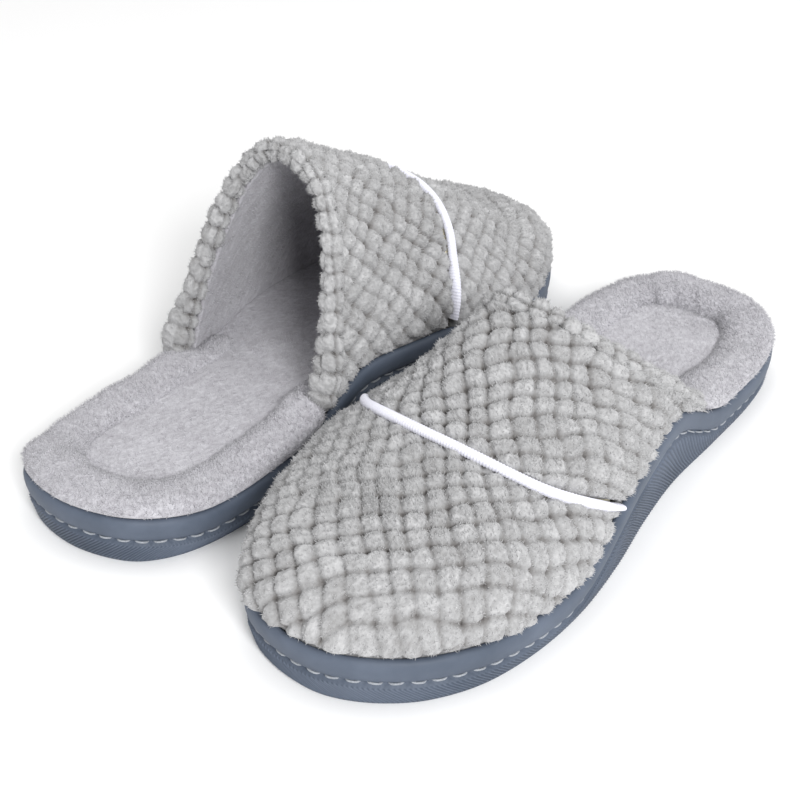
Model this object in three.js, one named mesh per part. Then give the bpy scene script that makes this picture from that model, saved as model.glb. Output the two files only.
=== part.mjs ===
// A pair of plush mule slippers: a moulded rubber cup sole, a contoured foam bed,
// a padded popcorn-plush upper and a soft plush rim round the heel.
// Millimetres, +Z up. X runs along both slippers: the left one points its toe to +X,
// the right one to -X. Each slipper is built in its own frame, x from heel to toe,
// y towards the inner (medial) side of a right foot, z up from the floor.
import * as THREE from 'three';
import { mergeVertices } from 'three/addons/utils/BufferGeometryUtils.js';

// Overall sizes
const SOLE_LENGTH = 262;
const BALL_WIDTH = 105;
const PAIR_NEST = 1.2;           // ball beside waist, the soles stand closer than their width
const AXIS_SPACING = BALL_WIDTH - PAIR_NEST;  // between the long axes of the two slippers
const STAGGER = 7.5;             // how far the left slipper stands ahead along X
const GAP = 0.3;                 // clearance between pieces that touch

// Rubber cup sole
const FLOOR_THICKNESS = 4.5;
const WALL_TOP = 3.0;            // wall at the lip
const WALL_FOOT = 3.3;           // wall at the cup floor
const FLARE = 2.5;               // how far the side wall leans out from floor to lip
const EDGE_ROUND = 1.3;          // rounded edge under the sole
const LIP_BAND = 7.2;            // height of the smooth band above the stitch groove
const GROOVE_DEPTH = 1.6;
const GROOVE_WIDTH = 2.1;
const BED_HEIGHT = 17.5;         // plush surface above the floor, middle of the heel
const LIP_HEEL = BED_HEIGHT + 1; // lip heights along the sole, from the bed
const LIP_QUARTER = BED_HEIGHT - 2.5;
const LIP_ARCH = BED_HEIGHT + 13.5;  // the inner side rises to hold the arch
const LIP_BALL = BED_HEIGHT - 2.2;
const LIP_TOE = BED_HEIGHT + 0.5;
const STITCH_RADIUS = 0.4;

// Foot bed, from the cup floor up
const BED_TOE_DROP = 1.5;        // the bed is lower under the toes
const BOARD_THICKNESS = 1.2;
const FOAM_THICKNESS = 4;
const SOCK_THICKNESS = 2.5;
const BED_CLEARANCE = 1.5;       // between the bed and the tucked-in upper
const LIP_ABOVE_BED = 1;         // the lip stands this far above the edge of the bed

// Plush heel rim
const RIM_HEIGHT = 6.5;          // above the lip
const RIM_WIDTH = 16.5;
const RIM_COVER = 1.7;
const RIM_STOP = 8;              // the rim ends this far short of the upper

// Upper, from the outside in
const PLUSH_THICKNESS = 3.2;
const INTERLINING = 1.5;
const LINING_THICKNESS = 1.8;
const LAYER_GAP = 0.5;           // between the layers of the upper
const TUCK = 6;                  // how far the upper reaches down inside the lip
const PIPING_WIDTH = 3.8;
const PIPING_HEIGHT = 3.4;
const PIPING_PROUD = 0.3;
const COLLAR_ROLL = 5;           // length of the edge that is turned over
const ROLL_LIFT = 1;             // piping and collar edge end this far above the tuck

// Each upper is soft and has taken its own set: the left one stands up, the right
// one lies flatter with its collar leaning forward. Its heights stand on the bed.
const RIGHT_UPPER = {
  collarFoot: 88, lateralFootStep: 6, collarLean: 57, collarHeight: BED_HEIGHT + 56.5,
  crestEnd: 225, toeHeight: BED_HEIGHT + 28, crestCrown: -7, crestSpacing: 1.5,
  collarFullness: 1.3, toeFullness: 0.55, crestShift: -5,
  seam: 0.264, seamBow: 0.124, seamSkew: 0.099,
};
const LEFT_UPPER = {
  collarFoot: 91, lateralFootStep: 3, collarLean: 34, collarHeight: BED_HEIGHT + 81.5,
  crestEnd: 218, toeHeight: BED_HEIGHT + 28, crestCrown: 4, crestSpacing: 2.2,
  collarFullness: 1.0, toeFullness: 0.62, crestShift: -4,
  seam: 0.32, seamBow: 0, seamSkew: 0,
};
const SIDE_FULLNESS = 0.87;      // below 1 the sides of the arches stand up straighter

// Plan outline as shares of sole length and ball width, heel tip first
const INNER_OUTLINE = [[0.011, 0.16], [0.037, 0.267], [0.09, 0.348], [0.17, 0.389],
  [0.29, 0.393], [0.40, 0.39], [0.50, 0.416], [0.60, 0.457], [0.70, 0.479],
  [0.79, 0.465], [0.87, 0.415], [0.93, 0.328], [0.968, 0.225], [0.992, 0.11]];
const OUTER_OUTLINE = [[0.011, -0.16], [0.037, -0.267], [0.09, -0.342], [0.17, -0.373],
  [0.28, -0.373], [0.36, -0.398], [0.45, -0.452], [0.55, -0.508], [0.66, -0.524],
  [0.76, -0.48], [0.85, -0.413], [0.92, -0.346], [0.968, -0.262], [0.992, -0.14]];

// Mesh fineness
const HEEL_ROWS = 8;
const VAMP_ROWS = 4;
const TOE_ROWS = 7;
const ARCH_STEPS = 12;
const BED_STEPS = 4;
const OUTLINE_SAMPLES = 400;

const plush = { color: 0x9b9d9b, roughness: 0.95, metalness: 0 };
const fleece = { color: 0xbdbcc1, roughness: 0.95, metalness: 0 };
const rubber = { color: 0x666b79, roughness: 0.6, metalness: 0 };
const thread = { color: 0xa3a6aa, roughness: 0.8, metalness: 0 };
const ribKnit = { color: 0xe6e6f2, roughness: 0.85, metalness: 0 };
const foam = { color: 0xe8e2c8, roughness: 0.9, metalness: 0 };
const eva = { color: 0x8d929c, roughness: 0.8, metalness: 0 };
const board = { color: 0xb79f7c, roughness: 0.85, metalness: 0 };

const lerp = THREE.MathUtils.lerp;
const smooth = (x, low, high) => THREE.MathUtils.smoothstep(x, low, high);

// ---- outline and heights ----------------------------------------------------

// Height from a list of [share of length, height], eased between its entries
function heightAlong(table, x) {
  const share = THREE.MathUtils.clamp(x / SOLE_LENGTH, 0, 1);
  let k = 1;
  while (k < table.length - 1 && share > table[k][0]) k += 1;
  const [from, low] = table[k - 1];
  const [to, high] = table[k];
  return lerp(low, high, smooth(share, from, to));
}

const INNER_LIP = [[0, LIP_HEEL], [0.12, LIP_QUARTER], [0.27, LIP_QUARTER + 0.8],
  [0.43, LIP_ARCH], [0.55, LIP_ARCH - 2], [0.75, LIP_BALL], [1, LIP_TOE]];
const OUTER_LIP = [[0, LIP_HEEL], [0.12, LIP_QUARTER], [0.75, LIP_BALL], [1, LIP_TOE]];

function lipHeight(side, x) {
  return heightAlong(side === 'inner' ? INNER_LIP : OUTER_LIP, x);
}

// One side of the outline as a dense line from heel tip to toe tip, with its length
function traceSide(side) {
  const toPoint = ([u, v]) => new THREE.Vector3(u * SOLE_LENGTH, v * BALL_WIDTH, 0);
  const heelTip = new THREE.Vector3(0, 0, 0);
  const toeTip = new THREE.Vector3(SOLE_LENGTH, 0, 0);
  const inner = INNER_OUTLINE.map(toPoint);
  const outer = OUTER_OUTLINE.map(toPoint).reverse();
  const loop = new THREE.CatmullRomCurve3([heelTip, ...inner, toeTip, ...outer], true, 'catmullrom');
  const toeAt = (inner.length + 1) / (inner.length + outer.length + 2);
  const points = [];
  for (let k = 0; k <= OUTLINE_SAMPLES; k += 1) {
    const share = k / OUTLINE_SAMPLES;
    const at = side === 'inner' ? share * toeAt : 1 - share * (1 - toeAt);
    points.push(loop.getPoint(at));
  }
  const lengths = [0];
  for (let k = 1; k < points.length; k += 1) {
    lengths.push(lengths[k - 1] + points[k].distanceTo(points[k - 1]));
  }
  return { side, points, lengths, total: lengths[lengths.length - 1] };
}

const SIDES = { inner: traceSide('inner'), outer: traceSide('outer') };

// A place on a side: its point and outward direction, at a length from the heel tip
function placeAt(side, length) {
  const { points, lengths, total } = SIDES[side];
  const wanted = THREE.MathUtils.clamp(length, 0, total);
  let k = 1;
  while (k < points.length - 1 && lengths[k] < wanted) k += 1;
  const share = (wanted - lengths[k - 1]) / (lengths[k] - lengths[k - 1]);
  const point = points[k - 1].clone().lerp(points[k], share);
  const along = points[k].clone().sub(points[k - 1]).normalize();
  const turn = side === 'inner' ? 1 : -1;
  const out = new THREE.Vector3(-along.y * turn, along.x * turn, 0);
  if (wanted <= 0) out.set(-1, 0, 0);
  if (wanted >= total) out.set(1, 0, 0);
  return { side, point, out, lip: lipHeight(side, point.x) };
}

function lengthAtX(side, x) {
  const { points, lengths } = SIDES[side];
  const k = points.findIndex((point) => point.x >= x);
  return lengths[k];
}

function inset(place, distance, z) {
  const moved = place.point.clone().addScaledVector(place.out, -distance);
  moved.z = z;
  return moved;
}

// How far along the upper a row lies at a turn. The seam bows towards the toe over the
// crest and ends further forward on the inner side, and the rows either side of it
// follow it less and less.
function bowedShare(upper, share, turn) {
  const near = share < upper.seam ? share / upper.seam : (1 - share) / (1 - upper.seam);
  const bow = upper.seamBow * Math.sin(turn) + (upper.seamSkew * (1 - Math.cos(turn))) / 2;
  return share + near * bow;
}

// Cross rows from heel tip to toe tip. Each row pairs a place on the outer side with
// one on the inner side, and rows fall on the collar's feet and on the upper's seam.
function makeRows(upper) {
  const feet = {
    inner: lengthAtX('inner', upper.collarFoot),
    outer: lengthAtX('outer', upper.collarFoot + upper.lateralFootStep),
  };
  const pair = (share, part) => {
    const row = { share, part };
    for (const side of ['outer', 'inner']) {
      const { total } = SIDES[side];
      const ahead = bowedShare(upper, share, side === 'outer' ? 0 : Math.PI);
      row[side] = placeAt(side, part === 'heel' ? feet[side] * share : lerp(feet[side], total, ahead));
    }
    return row;
  };
  const rimEnd = 1 - RIM_STOP / feet.inner;
  const heel = [];
  for (let k = 0; k <= HEEL_ROWS; k += 1) heel.push(pair(rimEnd * (k / HEEL_ROWS), 'heel'));
  const front = [];
  for (let k = 0; k < VAMP_ROWS; k += 1) front.push(pair(upper.seam * (k / VAMP_ROWS), 'front'));
  for (let k = 0; k <= TOE_ROWS; k += 1) front.push(pair(lerp(upper.seam, 1, k / TOE_ROWS), 'front'));
  return { heel, front, all: [...heel, ...front] };
}

// ---- solids from grids and sections -----------------------------------------

// A closed body from a list of triangles: shared corners merged, slivers dropped,
// faces turned outwards.
function closedBody(triangles) {
  const geometry = new THREE.BufferGeometry();
  const flat = triangles.flatMap((triangle) => triangle.flatMap((p) => [p.x, p.y, p.z]));
  geometry.setAttribute('position', new THREE.Float32BufferAttribute(flat, 3));
  const merged = mergeVertices(geometry, 1e-3);
  const position = merged.getAttribute('position');
  const kept = [];
  let volume = 0;
  const [a, b, c] = [new THREE.Vector3(), new THREE.Vector3(), new THREE.Vector3()];
  for (let k = 0; k < merged.index.count; k += 3) {
    const [i, j, m] = [0, 1, 2].map((step) => merged.index.getX(k + step));
    if (i === j || j === m || m === i) continue;
    kept.push(i, j, m);
    a.fromBufferAttribute(position, i);
    b.fromBufferAttribute(position, j);
    c.fromBufferAttribute(position, m);
    volume += a.dot(b.cross(c));
  }
  merged.setIndex(volume < 0 ? kept.reverse() : kept);
  merged.computeVertexNormals();
  return merged;
}

function quad(list, a, b, c, d) {
  list.push([a, b, c], [a, c, d]);
}

// Two facing grids and the walls that join their edges. A grid that folds onto itself
// at its last row, as at the toe, closes there without a wall.
function solidBetween(top, bottom, closesAtEnd = false) {
  const list = [];
  const [rows, columns] = [top.length - 1, top[0].length - 1];
  for (let i = 0; i < rows; i += 1) {
    for (let j = 0; j < columns; j += 1) {
      quad(list, top[i][j], top[i + 1][j], top[i + 1][j + 1], top[i][j + 1]);
      quad(list, bottom[i][j], bottom[i][j + 1], bottom[i + 1][j + 1], bottom[i + 1][j]);
    }
    quad(list, top[i][0], bottom[i][0], bottom[i + 1][0], top[i + 1][0]);
    const [p, q] = [top[i][columns], top[i + 1][columns]];
    quad(list, p, q, bottom[i + 1][columns], bottom[i][columns]);
  }
  for (let j = 0; j < columns; j += 1) {
    quad(list, top[0][j], top[0][j + 1], bottom[0][j + 1], bottom[0][j]);
    if (closesAtEnd) continue;
    const [p, q] = [top[rows][j], top[rows][j + 1]];
    quad(list, p, bottom[rows][j], bottom[rows][j + 1], q);
  }
  return closedBody(list);
}

// A body through a run of matching sections: closed on itself, or capped at both ends
function solidThrough(sections, closed, flatSection) {
  const list = [];
  const count = sections.length;
  const sides = sections[0].length;
  for (let i = 0; i < (closed ? count : count - 1); i += 1) {
    const [here, next] = [sections[i], sections[(i + 1) % count]];
    for (let j = 0; j < sides; j += 1) {
      const m = (j + 1) % sides;
      quad(list, here[j], next[j], next[m], here[m]);
    }
  }
  if (!closed) {
    const caps = THREE.ShapeUtils.triangulateShape(flatSection, []);
    const [first, last] = [sections[0], sections[count - 1]];
    for (const [i, j, m] of caps) {
      const turned = THREE.ShapeUtils.isClockWise(flatSection) ? [i, m, j] : [i, j, m];
      list.push([first[turned[0]], first[turned[2]], first[turned[1]]].reverse());
      list.push([last[turned[0]], last[turned[2]], last[turned[1]]]);
    }
  }
  return closedBody(list);
}

function ovalSection(halfWidth, halfHeight, sides) {
  return Array.from({ length: sides }, (_, k) => {
    const turn = (2 * Math.PI * (k + 0.5)) / sides;
    return new THREE.Vector2(halfWidth * Math.cos(turn), halfHeight * Math.sin(turn));
  });
}

// ---- sole unit ---------------------------------------------------------------

const CUP_INNER_FOOT = FLARE + WALL_FOOT;
const GROOVE_Z = -LIP_BAND - 0.7 - GROOVE_WIDTH / 2;      // from the lip, middle of the groove

// The places round the sole, outer toe end first, round the heel and back
function perimeter(rows) {
  const outer = rows.map((row) => row.outer).reverse();
  const inner = rows.slice(1, -1).map((row) => row.inner);
  return [...outer, ...inner];
}

// Wall profile from the underside edge, up the outside, over the lip and down inside,
// as [distance in from the outline, height]
function wallProfile(lip) {
  const half = GROOVE_WIDTH / 2;
  const middle = lip + GROOVE_Z;
  return [
    [FLARE + EDGE_ROUND, 0], [FLARE, EDGE_ROUND], [1, middle - half - 0.5],
    [GROOVE_DEPTH + 0.7, middle - half], [GROOVE_DEPTH + 0.7, middle + half],
    [0.7, lip - LIP_BAND], [0, lip - LIP_BAND * 0.55], [0, lip - 2], [0.9, lip - 0.4],
    [1.9, lip], [WALL_TOP, lip - 0.8], [WALL_TOP, lip - TUCK - 0.5],
    [CUP_INNER_FOOT, FLOOR_THICKNESS],
  ];
}

function outsole(rows) {
  const ring = perimeter(rows.all);
  const list = [];
  const strips = ring.map((place) => wallProfile(place.lip).map(([d, z]) => inset(place, d, z)));
  for (let i = 0; i < ring.length; i += 1) {
    const [here, next] = [strips[i], strips[(i + 1) % ring.length]];
    for (let j = 0; j < here.length - 1; j += 1) quad(list, here[j], here[j + 1], next[j + 1], next[j]);
  }
  for (let i = 0; i < rows.all.length - 1; i += 1) {
    const [row, next] = [rows.all[i], rows.all[i + 1]];
    const at = (r, side, d, z) => inset(r[side], d, z);
    const under = FLARE + EDGE_ROUND;
    quad(list, at(row, 'outer', under, 0), at(row, 'inner', under, 0),
      at(next, 'inner', under, 0), at(next, 'outer', under, 0));
    const [d, z] = [CUP_INNER_FOOT, FLOOR_THICKNESS];
    quad(list, at(row, 'outer', d, z), at(next, 'outer', d, z),
      at(next, 'inner', d, z), at(row, 'inner', d, z));
  }
  return closedBody(list);
}

function sideStitch(rows) {
  const section = ovalSection(STITCH_RADIUS, STITCH_RADIUS, 5);
  const depth = GROOVE_DEPTH + 0.7 - STITCH_RADIUS - GAP;
  const rings = perimeter(rows.all).map((place) => section.map((p) => (
    inset(place, depth + p.x, place.lip + GROOVE_Z + p.y))));
  return solidThrough(rings, true);
}

// Height of the plush bed: flat in the middle, rising to just under the lip at the sides
function bedHeight(row, across) {
  const x = lerp(row.outer.point.x, row.inner.point.x, across);
  const middle = BED_HEIGHT - BED_TOE_DROP * smooth(x, SOLE_LENGTH * 0.4, SOLE_LENGTH * 0.7);
  const edge = (across < 0.5 ? row.outer.lip : row.inner.lip) - LIP_ABOVE_BED;
  const toEdge = Math.abs(2 * across - 1) ** 3;
  return lerp(middle, Math.max(edge, middle), toEdge);
}

const SOCK_DEPTH = SOCK_THICKNESS + GAP;
const FOAM_DEPTH = SOCK_DEPTH + FOAM_THICKNESS + GAP;
const BOARD_DEPTH = FOAM_DEPTH + BOARD_THICKNESS + GAP;
const UPPER_THICKNESS = PLUSH_THICKNESS + INTERLINING + LINING_THICKNESS + 2 * LAYER_GAP;

// A layer of the bed between two depths under the plush surface. Its edge keeps clear
// of the cup wall at the heel and of the tucked-in upper further forward.
function bedLayer(rows, topDepth, bottomDepth, heelInset) {
  const frontInset = WALL_TOP + GAP + UPPER_THICKNESS + BED_CLEARANCE;
  const last = rows.all.length - 1;
  const grid = (heightAt) => rows.all.map((row, i) => {
    const edge = row.part === 'heel' ? heelInset : frontInset;
    return Array.from({ length: BED_STEPS + 1 }, (_, j) => {
      const across = i === 0 || i === last ? 0 : j / BED_STEPS;
      const point = inset(row.outer, edge, 0).lerp(inset(row.inner, edge, 0), across);
      point.z = heightAt(row, across);
      return point;
    });
  });
  const top = grid((row, across) => bedHeight(row, across) - topDepth);
  const bottom = grid((row, across) => (
    bottomDepth === null ? FLOOR_THICKNESS + GAP : bedHeight(row, across) - bottomDepth));
  return solidBetween(top, bottom);
}

// ---- heel rim ----------------------------------------------------------------

const RIM_INSIDE = WALL_TOP + GAP + RIM_WIDTH;

// Sections of the rim as [distance in, height], given the lip height and the top of the
// foam that the rim sits on
function rimCoverSection(lip, seat) {
  const outside = WALL_TOP + GAP;
  const crown = lip + RIM_HEIGHT;
  const t = RIM_COVER;
  const low = lip - TUCK;
  return [
    [outside, low], [outside, lip + 1], [outside + 2.2, lip + RIM_HEIGHT * 0.75],
    [outside + RIM_WIDTH * 0.43, crown], [outside + RIM_WIDTH * 0.74, crown - 0.8],
    [RIM_INSIDE - 0.3, seat + SOCK_THICKNESS + 1.5], [RIM_INSIDE, seat],
    [RIM_INSIDE - t, seat], [RIM_INSIDE - t - 0.2, seat + SOCK_THICKNESS + 0.6],
    [outside + RIM_WIDTH * 0.7, crown - 0.8 - t], [outside + RIM_WIDTH * 0.45, crown - t],
    [outside + 2.2 + t * 0.9, lip + RIM_HEIGHT * 0.75 - t * 0.6], [outside + t, lip + 0.7],
    [outside + t, low],
  ];
}

function rimFoamSection(lip, seat) {
  const outside = WALL_TOP + 2 * GAP + RIM_COVER;
  const crown = lip + RIM_HEIGHT - RIM_COVER - GAP;
  const inside = RIM_INSIDE - RIM_COVER - GAP;
  return [
    [outside + 1, seat], [outside + 1, seat + 0.8], [outside + 2.6, lip + RIM_HEIGHT * 0.5],
    [outside + RIM_WIDTH * 0.36, crown - 0.3], [outside + RIM_WIDTH * 0.54, crown - 1],
    [inside - 0.6, seat + SOCK_THICKNESS], [inside - 0.4, seat],
  ];
}

function heelRim(rows, section) {
  const ring = [...rows.heel.map((row) => ({ row, side: 'outer', across: 0.15 })).reverse(),
    ...rows.heel.slice(1).map((row) => ({ row, side: 'inner', across: 0.85 }))];
  const flat = (lip, seat) => section(lip, seat).map(([d, z]) => new THREE.Vector2(d, z));
  const sections = ring.map(({ row, side, across }) => {
    const place = row[side];
    const seat = Math.max(bedHeight(row, across), bedHeight(row, 1 - across)) - SOCK_THICKNESS;
    return flat(place.lip, seat).map((p) => inset(place, p.x, p.y));
  });
  return solidThrough(sections, false, flat(LIP_HEEL, BED_HEIGHT - SOCK_THICKNESS));
}

// ---- upper -------------------------------------------------------------------

// A point on the outside of the upper. "share" runs from the collar's feet to the toe
// and "turn" over the arch, from the outer foot (0) to the inner foot (pi). Every arch
// climbs from its feet to the crest, which falls from the collar to the toe.
function upperPoint(upper, rowShare, turn) {
  const share = bowedShare(upper, rowShare, turn);
  const side = turn <= Math.PI / 2 ? 'outer' : 'inner';
  const step = side === 'outer' ? upper.lateralFootStep : 0;
  const start = lengthAtX(side, upper.collarFoot + step);
  const place = placeAt(side, lerp(start, SIDES[side].total, share));
  const foot = inset(place, WALL_TOP + GAP, place.lip);
  const g = 1 - (1 - share) ** upper.crestSpacing;
  const crest = new THREE.Vector3(
    lerp(upper.collarFoot + upper.collarLean, upper.crestEnd, g),
    upper.crestShift * (1 - g),
    lerp(upper.collarHeight, upper.toeHeight, g) + 4 * upper.crestCrown * g * (1 - g),
  );
  const rise = Math.sin(turn);
  const fullness = lerp(upper.collarFullness, upper.toeFullness, g);
  return new THREE.Vector3(
    lerp(foot.x, crest.x, rise ** 1.1),
    lerp(foot.y, crest.y, 1 - Math.abs(Math.cos(turn)) ** SIDE_FULLNESS),
    lerp(foot.z, crest.z, rise ** fullness),
  );
}

// Outward direction of the upper at a point, from two small steps along it
function upperNormal(upper, share, turn) {
  const e = 0.01;
  const [s0, s1] = [Math.max(share - e, 0), Math.min(share + e, 1)];
  const half = Math.PI / 2;
  const onInner = turn > half;
  const t0 = onInner ? Math.max(turn - e, half + 1e-6) : turn - e;
  const t1 = onInner ? turn + e : Math.min(turn + e, half);
  const along = upperPoint(upper, s1, turn).sub(upperPoint(upper, s0, turn));
  const over = upperPoint(upper, share, t1).sub(upperPoint(upper, share, t0));
  return over.cross(along).normalize().negate();
}

// The rows of the upper at a depth under its outside. Each row starts and ends tucked
// down inside the lip.
function upperGrid(upper, rows, depth) {
  const arch = Array.from({ length: ARCH_STEPS - 1 }, (_, k) => (Math.PI * (k + 1)) / ARCH_STEPS);
  return rows.front.map((row) => {
    const tucked = (place, z) => inset(place, WALL_TOP + GAP + depth, z);
    const normals = arch.map((turn) => upperNormal(upper, row.share, turn));
    const middle = (arch.length - 1) / 2;
    normals[middle].y = 0;
    if (row.share === 1) {
      arch.forEach((_, k) => { normals[k].y = 0; });
      arch.forEach((_, k) => { if (k > middle) normals[k].copy(normals[arch.length - 1 - k]); });
    }
    const over = arch.map((turn, k) => (
      upperPoint(upper, row.share, turn).addScaledVector(normals[k].normalize(), -depth)));
    if (row.share === 1) over.forEach((_, k) => { if (k > middle) over[k] = over[arch.length - 1 - k]; });
    return [
      tucked(row.outer, row.outer.lip - TUCK), tucked(row.outer, row.outer.lip + 0.5),
      ...over,
      tucked(row.inner, row.inner.lip + 0.5), tucked(row.inner, row.inner.lip - TUCK),
    ];
  });
}

// A row moved towards its neighbour, square to itself by a distance, to leave room for
// a seam
function stepBack(row, neighbour, distance) {
  return row.map((point, k) => {
    const away = neighbour[k].clone().sub(point).normalize();
    const before = row[Math.max(k - 1, 0)];
    const over = row[Math.min(k + 1, row.length - 1)].clone().sub(before).normalize();
    const square = Math.sqrt(1 - away.dot(over) ** 2);
    return point.clone().addScaledVector(away, distance / square);
  });
}

function upperLayer(upper, rows, depth, thickness, part) {
  const layers = [depth, depth + thickness].map((d) => upperGrid(upper, rows, d));
  const seamGap = PIPING_WIDTH / 2 + 3 * GAP;
  const [outside, inside] = layers.map((grid) => {
    if (part === 'vamp') {
      const kept = grid.slice(0, VAMP_ROWS);
      return [...kept, stepBack(grid[VAMP_ROWS], grid[VAMP_ROWS - 1], seamGap)];
    }
    if (part === 'toe') {
      const kept = grid.slice(VAMP_ROWS + 1);
      return [stepBack(grid[VAMP_ROWS], grid[VAMP_ROWS + 1], seamGap), ...kept];
    }
    return [stepBack(grid[0], grid[1], 3 * GAP), ...grid.slice(1)];
  });
  return solidBetween(outside, inside, part !== 'vamp');
}

// A roll laid along one row of the upper: each section stands across the row
function rollAlong(upper, rows, rowIndex, { halfWidth, halfHeight, shift, depth, sides }) {
  const outside = upperGrid(upper, rows, depth)[rowIndex].slice(1, -1);
  const deeper = upperGrid(upper, rows, depth + 1)[rowIndex].slice(1, -1);
  const ahead = upperGrid(upper, rows, depth)[rowIndex + 1].slice(1, -1);
  const flat = ovalSection(halfWidth, halfHeight, sides);
  const sections = outside.map((point, k) => {
    const out = point.clone().sub(deeper[k]).normalize();
    const along = ahead[k].clone().sub(point).normalize();
    const centre = point.clone().addScaledVector(along, shift);
    if (k === 0 || k === outside.length - 1) centre.z += ROLL_LIFT;
    return flat.map((p) => centre.clone().addScaledVector(along, p.x).addScaledVector(out, p.y));
  });
  return solidThrough(sections, false, flat);
}

function piping(upper, rows) {
  return rollAlong(upper, rows, VAMP_ROWS, {
    halfWidth: PIPING_WIDTH / 2, halfHeight: PIPING_HEIGHT / 2, shift: 0,
    depth: PIPING_HEIGHT / 2 - PIPING_PROUD, sides: 6,
  });
}

function collarEdge(upper, rows) {
  return rollAlong(upper, rows, 0, {
    halfWidth: COLLAR_ROLL / 2, halfHeight: UPPER_THICKNESS / 2 - 0.2,
    shift: -COLLAR_ROLL / 2 - 2 * GAP, depth: UPPER_THICKNESS / 2, sides: 8,
  });
}

// ---- assembly ----------------------------------------------------------------

function piece(name, geometry, finish) {
  const mesh = new THREE.Mesh(geometry, new THREE.MeshStandardMaterial(finish));
  mesh.name = name;
  return mesh;
}

function makeSlipper(foot, upper) {
  const rows = makeRows(upper);
  const slipper = new THREE.Group();
  const wallInset = CUP_INNER_FOOT + GAP;
  const foamDepth = PLUSH_THICKNESS + LAYER_GAP;
  const liningDepth = foamDepth + INTERLINING + LAYER_GAP;
  const solids = [
    ['outsole', outsole(rows), rubber],
    ['side_stitch', sideStitch(rows), thread],
    ['midsole', bedLayer(rows, BOARD_DEPTH, null, wallInset), eva],
    ['insole_board', bedLayer(rows, FOAM_DEPTH, BOARD_DEPTH - GAP, wallInset), board],
    ['memory_foam', bedLayer(rows, SOCK_DEPTH, FOAM_DEPTH - GAP, wallInset), foam],
    ['insole_sock', bedLayer(rows, 0, SOCK_THICKNESS, RIM_INSIDE + GAP), fleece],
    ['heel_rim_foam', heelRim(rows, rimFoamSection), foam],
    ['heel_rim_cover', heelRim(rows, rimCoverSection), fleece],
    ['vamp_panel', upperLayer(upper, rows, 0, PLUSH_THICKNESS, 'vamp'), plush],
    ['toe_panel', upperLayer(upper, rows, 0, PLUSH_THICKNESS, 'toe'), plush],
    ['piping', piping(upper, rows), ribKnit],
    ['interlining', upperLayer(upper, rows, foamDepth, INTERLINING, 'whole'), foam],
    ['lining', upperLayer(upper, rows, liningDepth, LINING_THICKNESS, 'whole'), fleece],
    ['collar_edge', collarEdge(upper, rows), plush],
  ];
  for (const [name, geometry, finish] of solids) slipper.add(piece(`${foot}_${name}`, geometry, finish));
  return slipper;
}

const right = makeSlipper('right', RIGHT_UPPER);
right.rotation.z = Math.PI;
right.position.set(SOLE_LENGTH / 2 - STAGGER / 2, -AXIS_SPACING / 2, 0);

const left = makeSlipper('left', LEFT_UPPER);
left.scale.y = -1;
left.position.set(-SOLE_LENGTH / 2 + STAGGER / 2, AXIS_SPACING / 2, 0);

// The pair stands on the floor, centred over the origin
const pair = new THREE.Group();
pair.add(right, left);
pair.updateMatrixWorld(true);
const middle = new THREE.Box3().setFromObject(pair, true).getCenter(new THREE.Vector3());
pair.position.set(-middle.x, -middle.y, 0);

export default pair;
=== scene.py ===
"""Looks for a pair of plush mule slippers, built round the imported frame.

Every surface is worked out in the slipper's own frame, in millimetres: x from heel to
toe, y towards the inner side of the foot, z up from the floor. "place" then carries it
into the shared frame, in metres. Both feet come from the same functions: the left one
is the mirror image, and its upper stands up higher than the right one's.
"""
import math

import bpy
import numpy as np
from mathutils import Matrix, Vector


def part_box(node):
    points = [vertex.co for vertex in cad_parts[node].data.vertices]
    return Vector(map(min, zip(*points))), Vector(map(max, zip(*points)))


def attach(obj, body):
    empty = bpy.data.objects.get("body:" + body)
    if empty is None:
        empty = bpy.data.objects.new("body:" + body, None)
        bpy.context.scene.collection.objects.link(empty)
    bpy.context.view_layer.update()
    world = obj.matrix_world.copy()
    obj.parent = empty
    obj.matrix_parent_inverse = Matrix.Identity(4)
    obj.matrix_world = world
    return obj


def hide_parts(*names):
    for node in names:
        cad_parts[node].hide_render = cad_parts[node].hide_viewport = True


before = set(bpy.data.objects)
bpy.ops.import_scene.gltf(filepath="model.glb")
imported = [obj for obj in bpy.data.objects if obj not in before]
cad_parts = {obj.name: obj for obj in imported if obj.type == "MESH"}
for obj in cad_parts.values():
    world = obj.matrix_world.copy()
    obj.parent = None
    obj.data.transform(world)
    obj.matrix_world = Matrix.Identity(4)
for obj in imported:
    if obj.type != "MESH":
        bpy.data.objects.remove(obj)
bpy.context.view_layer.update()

MM = 0.001
FEET = ("left", "right")

# ---- sizes in millimetres, the same values as the CAD part -------------------------

SOLE_LENGTH = 262.0
BALL_WIDTH = 105.0
FLARE = 2.5
EDGE_ROUND = 1.3
FLOOR_THICKNESS = 4.5
WALL_TOP = 3.0
WALL_FOOT = 3.3
LIP_BAND = 7.2
GROOVE_DEPTH = 1.6
GROOVE_WIDTH = 2.1
LIP_HEEL, LIP_QUARTER, LIP_ARCH, LIP_BALL, LIP_TOE = 18.5, 15.0, 31.0, 15.3, 18.0
BED_HEIGHT = 17.5
BED_TOE_DROP = 1.5
LIP_ABOVE_BED = 1.0
SOCK_THICKNESS = 2.5
RIM_HEIGHT = 6.5
RIM_WIDTH = 16.5
GAP = 0.3
PLUSH_THICKNESS = 3.2
INTERLINING = 1.5
LINING_THICKNESS = 1.8
LAYER_GAP = 0.5
TUCK = 6.0
PIPING_WIDTH = 3.8
COLLAR_ROLL = 5.0
SIDE_FULLNESS = 0.87
LINING_DEPTH = PLUSH_THICKNESS + INTERLINING + 2 * LAYER_GAP
UPPER_THICKNESS = LINING_DEPTH + LINING_THICKNESS
FOOT_INSET = WALL_TOP + GAP      # the upper's feet stand this far in from the outline
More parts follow.
